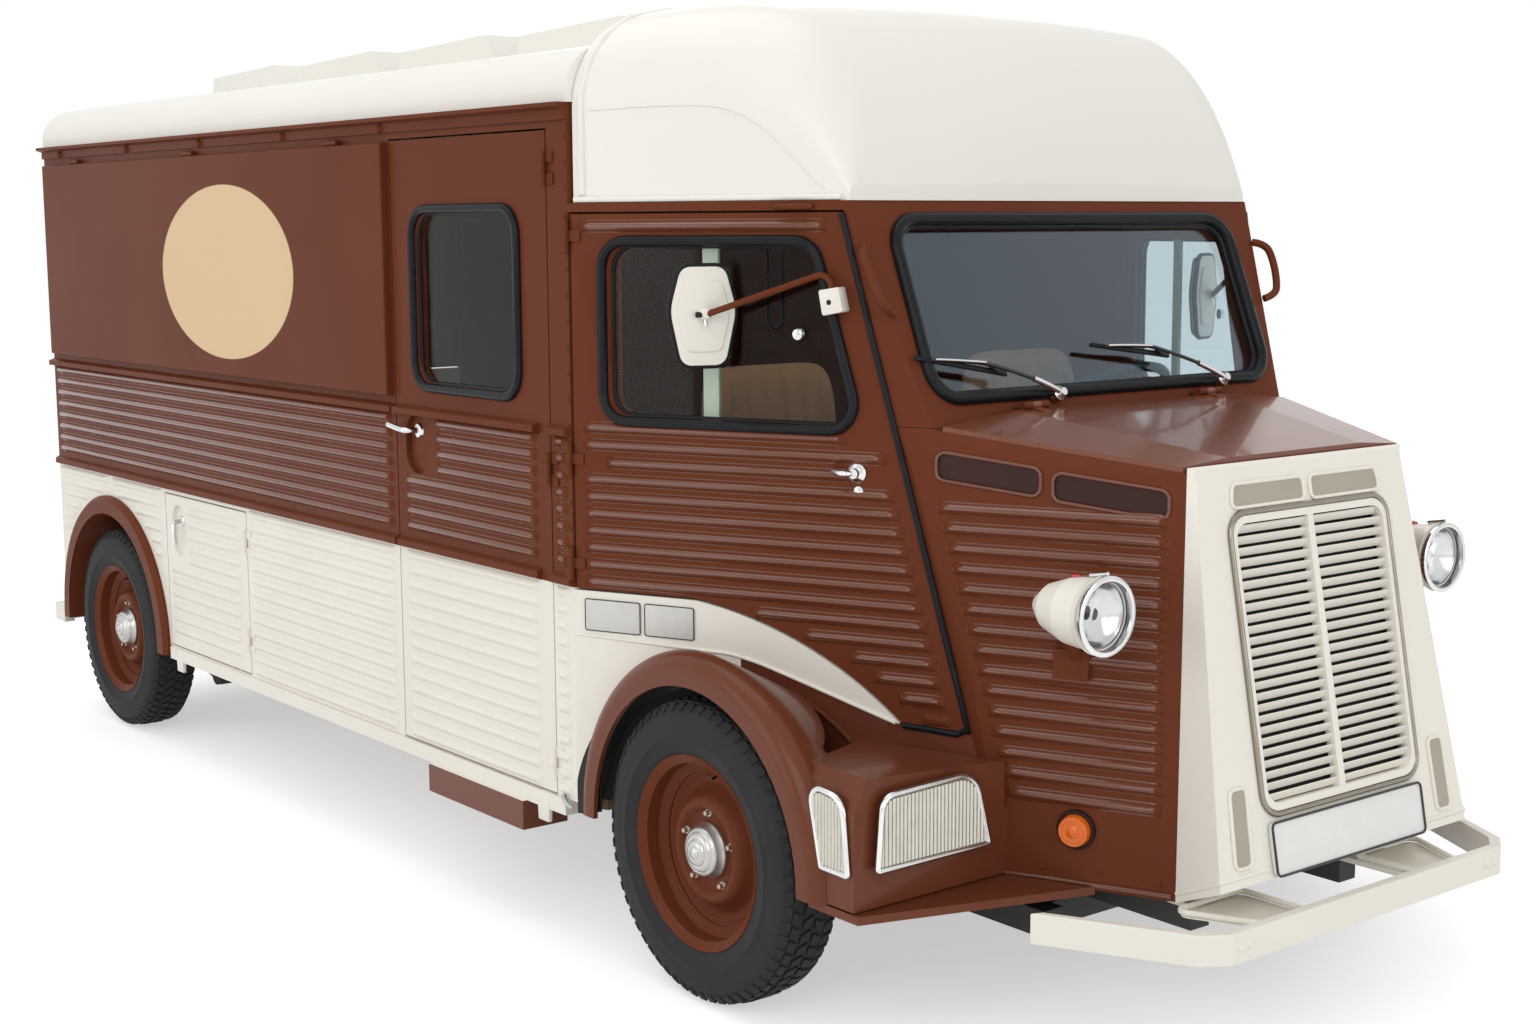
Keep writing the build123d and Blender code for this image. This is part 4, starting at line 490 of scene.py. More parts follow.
def beadShape(piece, length):  # a pressed bead along X from 0 to length, standing out along -Y
    count, run = bead["across"], bead["run"]
    along = [run - run * math.cos(math.pi / 2 * i / bead["ring"]) for i in range(bead["ring"])] + [run]
    stations = along + [length - a for a in reversed(along)]
    for index, vertex in enumerate(piece.data.vertices):
        row, col = divmod(index, count + 1)
        x = stations[row]
        near = min(1.0, max(0.0, 1 - min(x, length - x) / run))
        narrow = math.sqrt(max(0.0, 1 - near * near))
        v = (col / count - 0.5) * bead["width"] * narrow
        reach = math.hypot(near, v / (bead["width"] / 2))
        lift = bead["height"] * (0.5 + 0.5 * math.cos(math.pi * min(1, reach)))
        vertex.co = (x, -lift + 0.0004, v)


def faceOut(piece):  # turns a sheet on the right side so that most of its faces look outwards
    total = sum((polygon.normal * polygon.area for polygon in piece.data.polygons), Vector())
    if total.y > 0:
        pick(piece)
        bpy.ops.object.mode_set(mode="EDIT")
        bpy.ops.mesh.select_all(action="SELECT")
        bpy.ops.mesh.flip_normals()
        bpy.ops.object.mode_set(mode="OBJECT")
    return piece


def beadRow(name, table, finish, body, place=None):  # table rows: x start, x end, z
    beads = []
    rows = 2 * bead["ring"] + 1
    for start, end, z in table:
        freshStart()
        bpy.ops.mesh.primitive_grid_add(x_subdivisions=bead["across"], y_subdivisions=rows, size=1)
        piece = bpy.context.object
        beadShape(piece, end - start)
        turn = place(start, z) if place else Matrix.Translation((start, -side, z))
        piece.data.transform(turn)
        bpy.ops.object.mode_set(mode="EDIT")
        closeUp()
        beads.append(piece)
    return faceOut(joinUp(beads, name, finish, body, 60))


brownLevels = [0.9645 + i * pitch for i in range(8)]
creamLevels = [0.390 + i * pitch for i in range(13)]


def archReach(z, radius=0.494):
    rise = z - 0.352
    return math.sqrt(max(0.0, radius * radius - rise * rise))


def roundArch(rear, front, z):  # the beads before and behind the rear arch that are long enough to be pressed
    reach = archReach(z) + 0.02
    spans = [(rear, rearAxle - reach, z), (rearAxle + reach, front, z)]
    return [span for span in spans if span[1] - span[0] > 0.06]


def sideBeads():
    doorRear, doorFront = axle - 1.338, axle - 0.570
    start = bodyRear + 0.026
    lockerRear, lockerFront = axle - 2.962, axle - 2.335
    post, leftPost = pillar - 0.014, pillar - 0.026
    brown = [(start, doorRear - 0.031, z) for z in brownLevels]
    brown += [(doorFront + 0.017, post, z) for z in brownLevels]
    beadRow("beadsUpperRight", brown, "ribPaint", "body")
    cream = [(lockerFront + 0.03, doorRear - 0.031, z) for z in creamLevels]
    cream += [(doorFront + 0.017, post, z) for z in creamLevels]
    for z in creamLevels:
        cream += roundArch(start, lockerRear - 0.03, z)
    beadRow("beadsLowerRight", cream, "creamPaint", "body")
    door = [((axle - 1.13 if i > 3 else doorRear + 0.04), doorFront - 0.06, z) for i, z in enumerate(brownLevels)]
    beadRow("beadsDoorUpper", door, "ribPaint", "side_door")
    beadRow("beadsDoorLower", [(doorRear + 0.04, doorFront - 0.06, z) for z in creamLevels], "creamPaint",
            "side_door")
    locker = [(lockerRear + (0.18 if z > 0.669 else 0.036), lockerFront - 0.044, z)
              for z in creamLevels if 0.391 < z < 0.868]
    beadRow("beadsLocker", locker, "creamPaint", "locker_door")

    brown, cream = [], []
    for z in brownLevels:
        brown += [(start, axle - 2.23, z), (axle - 2.19, leftPost, z)]
    for z in creamLevels:
        cream += [(lockerRear, axle - 2.23, z), (axle - 2.19, axle - 1.33, z), (axle - 1.29, leftPost, z)]
        cream += roundArch(start, lockerRear - 0.03, z)
    for name, table, finish in (("beadsUpper", brown, "ribPaint"), ("beadsLower", cream, "creamPaint")):
        spare = beadRow(name + "Spare", table, finish, "body")
        mirrorOver(spare, name=name + "Left")
        bpy.data.objects.remove(spare)


def cabTurn(x, z):
    return Matrix.Translation((x, -cabY(x), z)) @ Matrix.Rotation(taper, 4, "Z")


def cabBeads():
    slant = math.cos(taper)

    def row(x0, x1, z):
        return (x0, x0 + (x1 - x0) / slant, z)

    rear = axle - 0.469 + 0.022
    table = []
    for i in range(16):
        z = 1.290 - i * pitch
        front = seamX(z) - 0.032
        start = rear
        if i == 2:
            start += 0.057
        if i in (0, 2):
            front -= 0.08
        if z - 0.008 < 0.906:
            start = doorCurve(z - 0.008) + 0.032
        if z < 0.665:
            front -= 0.065
        if front - start > 0.065:
            table.append(row(start, front, z))
    table.append(row(rear, seamX(1.762) - 0.035, 1.762))
    mirrorOver(beadRow("beadsCabDoorRight", table, "ribPaint", "cab_door_right", cabTurn), "cab_door_right")
    table = []
    for i in range(15):
        z = 1.150 - i * (pitch + 0.003)
        table.append(row(seamX(z) + 0.053, axle + 0.895 - 0.031, z))
    mirrorOver(beadRow("beadsNoseRight", table, "ribPaint", "body", cabTurn))


def doorCurve(z):  # lower rear curve of the cab door
    steps = [(axle - 0.170, 0.900), (axle + 0.130, 0.797), (axle + 0.312, 0.660)]
    for a, b in zip(steps, steps[1:]):
        if b[1] <= z <= a[1]:
            return a[0] + (a[1] - z) * (b[0] - a[0]) / (a[1] - b[1]) + 0.024
    return steps[-1][0]


sideBeads()
cabBeads()
print("ribs pressed")


wheel = {"radius": 0.352, "blocks": 60, "rows": (-0.046, -0.0165, 0.0165, 0.046), "nuts": 5, "nutCircle": 0.088}
lug = [(-0.0115, -0.010), (0.0115, -0.010), (0.0095, 0.013), (-0.0095, 0.013)]
wheelShape = {  # (along the axle, radius); the tyre counts its radius inwards from the tread
    "tyre": [(0, 0.0065), (0.0085, 0.0065), (0.03, 0.0068), (0.034, 0.0075), (0.06, 0.011), (0.068, 0.017),
             (0.0745, 0.03), (0.0785, 0.046), (0.0815, 0.066), (0.082, 0.082), (0.0832, 0.084),
             (0.0832, 0.09), (0.081, 0.092), (0.079, 0.106), (0.0765, 0.11), (0.0765, 0.114),
             (0.0745, 0.117), (0.07, 0.127), (0.064, 0.133), (0.06, 0.1415)],
    "rim": [(0.0735, 0.2255), (0.07, 0.2275), (0.0665, 0.225), (0.064, 0.211), (0.032, 0.2085),
            (0.02, 0.186), (-0.018, 0.183), (-0.031, 0.2085), (-0.064, 0.211), (-0.0665, 0.225),
            (-0.0735, 0.2255), (-0.07, 0.206), (-0.033, 0.203), (-0.021, 0.179), (0.016, 0.18),
            (0.029, 0.202), (0.06, 0.2045)],
    "disc": [(0.012, 0.1835), (0.01, 0.176), (0, 0.168), (-0.004, 0.156), (0.002, 0.144), (0.016, 0.134),
             (0.03, 0.127), (0.04, 0.119), (0.044, 0.109), (0.04, 0.099), (0.031, 0.093), (0.026, 0.088),
             (0.026, 0.062), (0.034, 0.057), (0.034, 0.03), (0.022, 0.03), (0.022, 0.056), (0.018, 0.088),
             (0.026, 0.096), (0.034, 0.108), (0.024, 0.126), (0.008, 0.136), (-0.004, 0.142),
             (-0.012, 0.156), (-0.006, 0.172), (0.004, 0.1835)],
    "cap": [(0.026, 0), (0.026, 0.064), (0.031, 0.066), (0.036, 0.064), (0.041, 0.06), (0.052, 0.058),
            (0.06, 0.054), (0.0625, 0.049), (0.061, 0.046), (0.066, 0.043), (0.069, 0.034), (0.068, 0.031),
            (0.073, 0.028), (0.0755, 0.019), (0.0745, 0.016), (0.078, 0.013), (0.079, 0)],
}


def allRound(block, phase, name):  # copies of one block round the wheel's axis
    copies = []
    for i in range(wheel["blocks"]):
        twin = block.copy()
        twin.data = block.data.copy()
        twin.data.transform(Matrix.Rotation(math.tau * (i + phase) / wheel["blocks"], 4, "Y"))
        bpy.context.collection.objects.link(twin)
        copies.append(twin)
    bpy.data.objects.remove(block)
    return joinUp(copies, name, "tyreRubber", None)


def treadBlocks(name, x, y, body):
    blocks = []
    for row, v in enumerate(wheel["rows"]):
        outer = row in (0, 3)
        long, wide, depth = (0.027, 0.0235, 0.0105) if outer else (0.023, 0.0255, 0.0062)
        slant = 0.006 if row % 2 else -0.006
        points = []
        for a, b in ((-long, -wide), (long, -wide), (long, wide), (-long, wide)):
            shift = slant if b < 0 else -slant
            points.append(Vector((a / 2 + shift, v + b / 2, wheel["radius"] - depth)))
        block = slab("block", points, (0, 0, 0.0055), "tyreRubber", None, 0.0012, segments=1)
        blocks.append(allRound(block, 0.37 * row, "blockRow"))
    for sign in (-1, 1):  # lugs round both shoulders
        tilt = math.radians(52)
        normal = Vector((0, sign * math.sin(tilt), math.cos(tilt)))
        slope = Vector((0, sign * math.cos(tilt), -math.sin(tilt)))
        spot = Vector((0, sign * 0.0655, wheel["radius"] - 0.0175))
        points = [spot + Vector((a, 0, 0)) + slope * b for a, b in lug][::sign]
        block = slab("lug", points, normal * 0.0045, "tyreRubber", None, 0.001, segments=1)
        blocks.append(allRound(block, 0.5, "lugRow"))
    piece = joinUp(blocks, name, "tyreRubber", None)
    piece.data.transform(Matrix.Translation((x, y, wheel["radius"])))
    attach(piece, body)


def wheelBolt(sides, radius, depth, spot, edge):
    freshStart()
    bpy.ops.mesh.primitive_cylinder_add(vertices=sides, radius=radius, depth=depth, location=spot,
                                        rotation=(math.pi / 2, 0, 0))
    piece = bpy.context.object
    bevelEdges(piece, edge, 1)
    return piece


def wheelSet(label, node, x, y):
    body = "wheel_" + node
    out = -1 if y < 0 else 1
    r = wheel["radius"]
    centre, way = (x, y, r), (0, out, 0)
    half = [(u, r - depth) for u, depth in wheelShape["tyre"]]
    closed = half + [(-u, v) for u, v in reversed(half) if u > 0]
    tyre = turned("tyre" + label, closed, centre, way, "tyreRubber", body, 72, 50)
    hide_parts("tyre_" + node)
    treadBlocks("tread" + label, x, y, body)
    rim = turned("rim" + label, wheelShape["rim"], centre, way, "brownPaint", body, 64, 50)
    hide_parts("rim_" + node)
    turned("disc" + label, wheelShape["disc"], centre, way, "brownPaint", body, 64, 50)
    turned("cap" + label, wheelShape["cap"], centre, way, "hubSilver", body, 48, 50)
    nuts = []
    for i in range(wheel["nuts"]):
        angle = math.tau * i / wheel["nuts"] + 0.3
        across, z = x + wheel["nutCircle"] * math.cos(angle), r + wheel["nutCircle"] * math.sin(angle)
        nuts.append(wheelBolt(6, 0.0115, 0.016, (across, y + out * 0.026, z), 0.0015))
        nuts.append(wheelBolt(12, 0.0060, 0.012, (across, y + out * 0.026 + out * 0.012, z), 0.001))
    joinUp(nuts, "nuts" + label, "nutSteel", body)
    valve = [(x + 0.05, y + out * 0.030, r + 0.190), (x + 0.048, y + out * 0.060, r + 0.180)]
    tube("valve" + label, valve, 0.0035, "rubber", body)


for label, node, x, y in (("FrontRight", "front_right", axle, -0.9), ("FrontLeft", "front_left", axle, 0.9),
                          ("RearRight", "rear_right", rearAxle, -0.9), ("RearLeft", "rear_left", rearAxle, 0.9)):
    wheelSet(label, node, x, y)
print("wheels turned")


seal = {"radius": 0.0125, "bead": 0.006, "corner": 0.062}


def rubber(name, loop, radius, body):
    return tube(name, loop, radius, "rubber", body, closed=True)


def cabWindowRubber():
    top, low, rear = 1.728, 1.308, axle - 0.388
    frontTop, frontLow = seamX(top), seamX(low)
    points = [(rear, top), (frontTop - 0.074, top), (frontLow - 0.070, low), (rear, low)]
    loop = roundedLoop([cabPoint(x, z, 0.004) for x, z in points], seal["corner"])
    mirrorOver(rubber("windowRubberRight", loop, seal["radius"], "cab_door_right"), "cab_door_right")
    top, low, rear = top - 0.012, low + 0.012, rear + 0.012
    points = [(rear, top), (frontTop - 0.087, top), (frontLow - 0.084, low), (rear, low)]
    loop = roundedLoop([cabPoint(x, z, -0.014) for x, z in points], 0.055)
    mirrorOver(rubber("windowBeadRight", loop, seal["bead"], "cab_door_right"), "cab_door_right")


screen = {"slope": 0.399, "half": 0.562, "low": -0.194, "high": 0.214, "corner": 0.075}
screenFall = math.hypot(1, screen["slope"])


def onScreen(v, y, out=0.0):  # v up the windscreen from its middle, y across
    z = 1.567 + v / screenFall
    x = axle + 0.183 + screen["slope"] * (1.816 - z)
    return Vector((x + out / screenFall, y, z + out * screen["slope"] / screenFall))


def windows():
    cabWindowRubber()
    rear, front, low, high = axle - 1.222, axle - 0.700, 1.342, 1.808
    loop = roundedLoop(rectangle(flatWall(-side - 0.003), (rear, front), (low, high)), 0.07)
    rubber("doorWindowRubber", loop, seal["radius"], "side_door")
    inset = (rear + 0.012, front - 0.012), (low + 0.012, high - 0.012)
    loop = roundedLoop(rectangle(flatWall(-side + 0.012), *inset), seal["corner"])
    rubber("doorWindowBead", loop, seal["bead"], "side_door")
    half, low, high = screen["half"] + 0.008, screen["low"] - 0.008, screen["high"] + 0.008
    loop = roundedLoop(rectangle(lambda y, v: onScreen(v, y, 0.004), (-half, half), (low, high)), screen["corner"], 8)
    rubber("windscreenRubber", loop, 0.0155, "body")
    inner = half - 0.014
    shape = rectangle(lambda y, v: onScreen(v, y, -0.008), (-inner, inner), (low + 0.014, high - 0.014))
    rubber("windscreenBead", roundedLoop(shape, 0.062, 8), 0.008, "body")
    loop = roundedLoop(rectangle(crossWall(bodyRear - 0.002), (-0.48, 0.48), (1.43, 1.83)), 0.06)
    rubber("tailgateRubber", loop, seal["radius"], "tailgate")


windows()
print("rubbers fitted")


lamp = {"x": axle + 0.868, "y": 0.582, "z": 0.978}


def headlamp():
    x, y, z = lamp["x"], -lamp["y"], lamp["z"]
    ring = [(-0.012, 0.0775), (0.006, 0.0800), (0.014, 0.0835), (0.0165, 0.0800), (0.0150, 0.0725), (0.0080, 0.0700),
            (-0.002, 0.0715), (-0.012, 0.0730)]
    mirrorOver(turned("lampRimRight", ring, (x, y, z), (1, 0, 0), "chrome", "body", 48, 50))
    bowl = [(-0.030, 0.0), (-0.030, 0.012), (-0.026, 0.030), (-0.016, 0.052), (-0.0125, 0.064), (-0.0150, 0.0655),
            (-0.0290, 0.034), (-0.0325, 0.0)]
    mirrorOver(turned("lampDishRight", bowl, (x, y, z), (1, 0, 0), "chrome", "body", 48, 60))
    clip = [(x - 0.035, y, z + 0.079), (x + 0.012, y, z + 0.0875)]
    mirrorOver(tube("lampClipRight", clip, 0.0045, "chrome", "body"))
    jewel = [(0.0, 0.0), (0.0, 0.011), (0.006, 0.009), (0.009, 0.0)]
    mirrorOver(turned("lampTellRight", jewel, (x - 0.075, y, z + 0.0700), (0, 0, 1), "redLens", "body", 16))


def spanAt(loop, across, s):  # lowest and highest point of a loop at a place across it
    heights = []
    for p, q in zip(loop, loop[1:] + loop[:1]):
        a, b = p.dot(across), q.dot(across)
        if (a - s) * (b - s) < 0:
            heights.append(p.z + (q.z - p.z) * (s - a) / (b - a))
    return (min(heights), max(heights)) if len(heights) > 1 else None


def reededLamp(name, corners, radii, outward, body):  # chrome frame round a reeded lens
    outward = Vector(outward)
    across = Vector((0, 0, 1)).cross(outward).normalized()
    loop = roundedLoop(corners, radii, 7)
    tube(name + "Frame", [p + outward * 0.005 for p in loop], 0.0075, "chrome", body, closed=True, sides=3)
    slab(name + "Back", [p + outward * 0.001 for p in loop], outward * 0.003, "chrome", body)
    places = [p.dot(across) for p in loop]
    first, last = min(places) + 0.010, max(places) - 0.010
    count = int((last - first) / 0.0105)
    depth = loop[0].dot(outward) + 0.006
    reeds = []
    for i in range(count + 1):
        s = first + (last - first) * i / count
        span = spanAt(loop, across, s)
        if span and span[1] - span[0] > 0.03:
            spot = across * s + outward * depth
            ends = [spot + Vector((0, 0, z)) for z in (span[0] + 0.008, span[1] - 0.008)]
            reeds.append(tube("reed", ends, 0.0052, "reedGlass", None, sides=1))
    joinUp(reeds, name + "Lens", "reedGlass", body, 50)


def fenderLamps():
    across = crossWall(axle + 0.5608)
    front = [across(-0.905, 0.594), across(-0.642, 0.602), across(-0.600, 0.438), across(-0.918, 0.438)]
    reededLamp("lampFrontRight", front, [0.034, 0.062, 0.005, 0.005], (1, 0, 0), "body")
    along = flatWall(-0.9668)
    flank = [along(axle + x, z) for x, z in ((0.408, 0.602), (0.516, 0.590), (0.532, 0.430), (0.448, 0.430))]
    reededLamp("lampFlankRight", flank, [0.030, 0.046, 0.005, 0.005], (0, -1, 0), "body")
    for part in ("lampFrontRight", "lampFlankRight"):
        for tail in ("Frame", "Back", "Lens"):
            mirrorOver(bpy.data.objects[part + tail])


headlamp()
fenderLamps()
print("lamps set")


grille = {"footX": axle + 1.060, "footZ": 0.420, "lean": 155 / 832, "half": 0.268, "low": 0.540, "high": 1.160}
grilleFall = math.hypot(1, grille["lean"])


def onGrille(y, z, out=0.0):
    x = grille["footX"] - grille["lean"] * (z - grille["footZ"])
    return Vector((x + out / grilleFall, y, z + out * grille["lean"] / grilleFall))


def grilleTrim():
    half, low, high = grille["half"] + 0.002, grille["low"] - 0.002, grille["high"] + 0.002
    loop = roundedLoop(rectangle(lambda y, z: onGrille(y, z, 0.004), (-half, half), (low, high)), 0.05, 8)
    tube("grilleSurround", loop, 0.0062, "bronzeTrim", "body", closed=True, sides=3)
    inner = half - 0.01
    back = rectangle(lambda y, z: onGrille(y, z, -0.034), (-inner, inner), (low + 0.01, high - 0.01))
    slab("grilleBack", back, (-0.004, 0, 0), "deepShade", "body")
    panels = []
    for sign in (-1, 1):
        panels.append([(sign * 0.012, 1.172), (sign * 0.256, 1.172), (sign * 0.245, 1.222), (sign * 0.012, 1.222)])
        panels.append([(sign * 0.325, 0.450), (sign * 0.378, 0.450), (sign * 0.370, 0.610), (sign * 0.318, 0.610)])
    for index, panel in enumerate(panels):
        loop = roundedLoop([onGrille(y, z, 0.0016) for y, z in panel], 0.014, 4)
        slab("shellPanel%d" % index, loop, (0.0008, 0, 0.0001), "panelBeige", "body")
        raised = [p + Vector((0.0012, 0, 0.0002)) for p in loop]
        tube("shellPanelEdge%d" % index, raised, 0.0044, "creamPaint", "body", closed=True)


plate = {"half": 0.26, "tall": 0.110, "corner": 0.012, "frontLow": 0.415, "rearLow": 0.330}


def numberPlates():  # both are left blank
    across = (-plate["half"], plate["half"])
    up = (plate["frontLow"], plate["frontLow"] + plate["tall"])
    loop = roundedLoop(rectangle(lambda y, z: onGrille(y, z, 0.012), across, up), plate["corner"], 4)
    slab("frontPlate", loop, (-0.010, 0, -0.002), "plateWhite", "body", 0.001)
    tube("frontPlateEdge", [p + Vector((0.0012, 0, 0)) for p in loop], 0.0028, "blackPlastic", "body", closed=True)
    up = (plate["rearLow"], plate["rearLow"] + plate["tall"])
    loop = roundedLoop(rectangle(crossWall(bodyRear - 0.113), across, up), plate["corner"], 4)
    slab("rearPlate", loop, (0.006, 0, 0), "plateWhite", "body", 0.001)


noseSlot = {"foot": (0.3817, 1.318), "front": (0.895, 1.252), "below": 0.074, "fall": 0.11, "half": 0.031,
            "corner": 0.020}


def noseTrim():  # painted shade as dark backs in the nose's slots, raised rims round them, a lip along its foot, rings round the indicators
    slope = (noseSlot["foot"][1] - noseSlot["front"][1]) / (noseSlot["front"][0] - noseSlot["foot"][0])
    for index, (rear, front) in enumerate(((0.385, 0.605), (0.630, 0.862))):
        middle = (rear + front) / 2
        height = noseSlot["foot"][1] - noseSlot["below"] - slope * (middle - noseSlot["foot"][0])

        def at(x, lift):
            fall = noseSlot["fall"] * (x - middle) / math.cos(taper)
            return cabPoint(axle + x, height - fall + lift * noseSlot["half"], -0.003)

        loop = roundedLoop(rectangle(at, (rear, front), (-1, 1)), noseSlot["corner"], 5)
        # painted shade: a dark plate at the back of each slot stands for the shade in its recess
        mirrorOver(slab("noseSlotBack%dRight" % index, loop, -cabOut * 0.002, "slotShade", "body"))
        raised = [p + cabOut * 0.0035 for p in loop]
        mirrorOver(tube("noseSlotRim%dRight" % index, raised, 0.0042, "ribPaint", "body", closed=True))
    foot = [cabPoint(axle + x, 0.352, 0.001) for x in (0.48, 0.60, 0.74, 0.885)]
    mirrorOver(tube("noseLipRight", foot, 0.0055, "ribPaint", "body", sides=3))
    lip = [(axle + 0.900, -0.373, 0.362), (axle + 1.057, -0.4285, 0.434), (axle + 1.057, -0.275, 0.434)]
    mirrorOver(tube("shellLipRight", lip, 0.0055, "creamPaint", "body", sides=3))
    spot = cabPoint(axle + 0.690, 0.470)
    ring = [(-0.001, 0.037), (-0.001, 0.0440), (0.008, 0.0430), (0.0125, 0.0385), (0.0115, 0.0355)]
    mirrorOver(turned("indicatorRingRight", ring, spot, cabOut, "slotShade", "body", 32, 50))
    boss = [(0.025, 0.0), (0.025, 0.0260), (0.0275, 0.0240), (0.0265, 0.0150), (0.0290, 0.0130), (0.0300, 0.0)]
    mirrorOver(turned("indicatorBossRight", boss, spot, cabOut, "amberLens", "body", 32, 50))


grilleTrim()
noseTrim()
numberPlates()
print("grille trimmed")


wiper = {"Right": {"pivot": (-0.206, -0.212), "inner": (-0.352, -0.155), "outer": (-0.612, -0.106),
                   "grip": (-0.419, -0.130)},
         "Left": {"pivot": (0.372, -0.206), "inner": (0.204, -0.136), "outer": (-0.056, -0.099),
                  "grip": (0.140, -0.114)}}
wiperStand = {"pivot": 0.024, "inner": 0.012, "outer": 0.012, "grip": 0.027}  # how far each stands off the glass


def wipers():  # places on the windscreen: across, up
    out = (onScreen(0, 0, 1) - onScreen(0, 0, 0)).normalized()
    for label, place in wiper.items():
        root, low, high, grip = (onScreen(*place[key][::-1], stand) for key, stand in wiperStand.items())
        along = (high - low).normalized()
        boss = [(-0.016, 0.0), (-0.016, 0.019), (0.002, 0.018), (0.008, 0.012), (0.016, 0.009), (0.017, 0.0)]
        turned("wiperPivot" + label, boss, root, out, "chrome", "body", 20)
        shank = [root + out * 0.006, root.lerp(grip, 0.22) + out * 0.015, root.lerp(grip, 0.42) + out * 0.016]
        tube("wiperShank" + label, shank, 0.0072, "chrome", "body", smooth=True)
        arm = [root.lerp(grip, 0.38) + out * 0.016, root.lerp(grip, 0.72) + out * 0.013, grip]
        tube("wiperArm" + label, arm, 0.0045, "blackPlastic", "body", smooth=True)
        wide = Vector((0, 0, 1)).cross(out).cross(out).normalized() * 0.0065
        blade = [low - wide, high - wide * 0.7, high + wide * 0.7, low + wide]
        slab("wiperBlade" + label, blade, out * 0.009, "rubber", "body", 0.0015)
        yoke = [low + along * 0.03 + out * 0.010, grip.lerp(low, 0.3) + out * 0.002, grip,
                grip.lerp(high, 0.45) + out * 0.002, high - along * 0.04 + out * 0.010]
        tube("wiperYoke" + label, yoke, 0.0045, "blackPlastic", "body", smooth=True)
        bridge = [grip + out * 0.004, grip.lerp(high, 0.5) + out * 0.007, high - along * 0.05 + out * 0.014]
        tube("wiperBridge" + label, bridge, 0.0034, "chrome", "body", smooth=True)


def lever(name, start, points, finish, body, radius=0.007):
    return tube(name, [Vector(start) + Vector(p) for p in points], radius, finish, body, smooth=True, sides=3)


rosette = {"large": [(-0.002, 0.0), (-0.002, 0.024), (0.005, 0.023), (0.010, 0.018), (0.014, 0.012), (0.022, 0.011),
                     (0.022, 0.0)],
           "lock": [(-0.002, 0.0), (-0.002, 0.012), (0.006, 0.011), (0.008, 0.0)],
           "knob": [(-0.002, 0.0), (-0.002, 0.014), (0.008, 0.012), (0.012, 0.0)],
           "kitchen": [(0.0, 0.0), (0.0, 0.021), (0.007, 0.018), (0.010, 0.010), (0.010, 0.0)],
           "locker": [(0.0, 0.0), (0.0, 0.017), (0.006, 0.014), (0.008, 0.0)]}


def sideHandles():
    x, y = axle - 1.228, -side
    well = rectangle(flatWall(y + 0.0152), (x - 0.058, x + 0.058), (1.110, 1.266))
    slab("kitchenHandleWell", roundedLoop(well, 0.05, 6), (0, -0.001, 0), "brownPaint", "side_door")
    bent = [(0.0, 0.012, 0.0), (0.0, -0.026, 0.002), (-0.030, -0.030, 0.004), (-0.095, -0.028, 0.012)]
    lever("kitchenLever", (x - 0.012, y, 1.222), bent, "chrome", "side_door", 0.0085)
    spot = (x - 0.012, y + 0.014, 1.222)
    turned("kitchenLeverRose", rosette["kitchen"], spot, (0, -1, 0), "chrome", "side_door", 24)
    x = axle - 2.862
    bent = [(0.0, 0.010, 0.0), (0.0, -0.018, 0.0), (0.006, -0.022, -0.02), (0.012, -0.022, -0.075)]
    lever("lockerLever", (x, y, 0.800), bent, "chrome", "locker_door", 0.0075)
    turned("lockerLeverRose", rosette["locker"], (x, y + 0.013, 0.800), (0, -1, 0), "chrome", "locker_door", 24)


def cabHandles():
    root = cabPoint(axle + 0.212, 1.216)
    bent = [(0, 0.004, 0), (0.006, -0.034, 0.0), (-0.02, -0.040, 0.002), (-0.075, -0.020, 0.008),
            (-0.125, 0.020, 0.012)]
    mirrorOver(lever("cabLeverRight", root, bent, "chrome", "cab_door_right", 0.0072), "cab_door_right")
    for name, kind, spot, sides in (("cabLeverRoseRight", "large", root, 24),
                                    ("cabLockRight", "lock", cabPoint(axle + 0.218, 1.176), 20),
                                    ("quarterKnobRight", "knob", cabPoint(axle + 0.075, 1.520, -0.006), 20)):
        mirrorOver(turned(name, rosette[kind], spot, cabOut, "chrome", "cab_door_right", sides), "cab_door_right")


def rearHandles():
    for label, y in (("Right", -0.06), ("Left", 0.06)):
        bent = [(0.004, 0, 0), (-0.030, 0, 0), (-0.034, y * 0.2, -0.02), (-0.034, y * 0.2, -0.11)]
        lever("rearLever" + label, (bodyRear, y, 1.02), bent, "chrome", "rear_door_" + label.lower(), 0.0075)
    bent = [(0.004, -0.06, 0), (-0.030, -0.06, 0), (-0.034, -0.02, 0), (-0.034, 0.02, 0), (-0.030, 0.06, 0),
            (0.004, 0.06, 0)]
    lever("tailgateLever", (bodyRear, 0.0, 1.255), bent, "chrome", "tailgate", 0.0075)


mirror = {"head": (axle - 0.110, -0.860, 1.560), "half": 0.0800, "tall": 0.1125, "turn": 0.35, "round": 0.030}
barrel = [(-0.66, 1.0), (0.66, 1.0), (1.0, 0.12), (0.66, -1.0), (-0.66, -1.0), (-1.0, 0.12)]


def bothDoors(piece):  # the same piece on the left cab door
    return mirrorOver(piece, "cab_door_right")


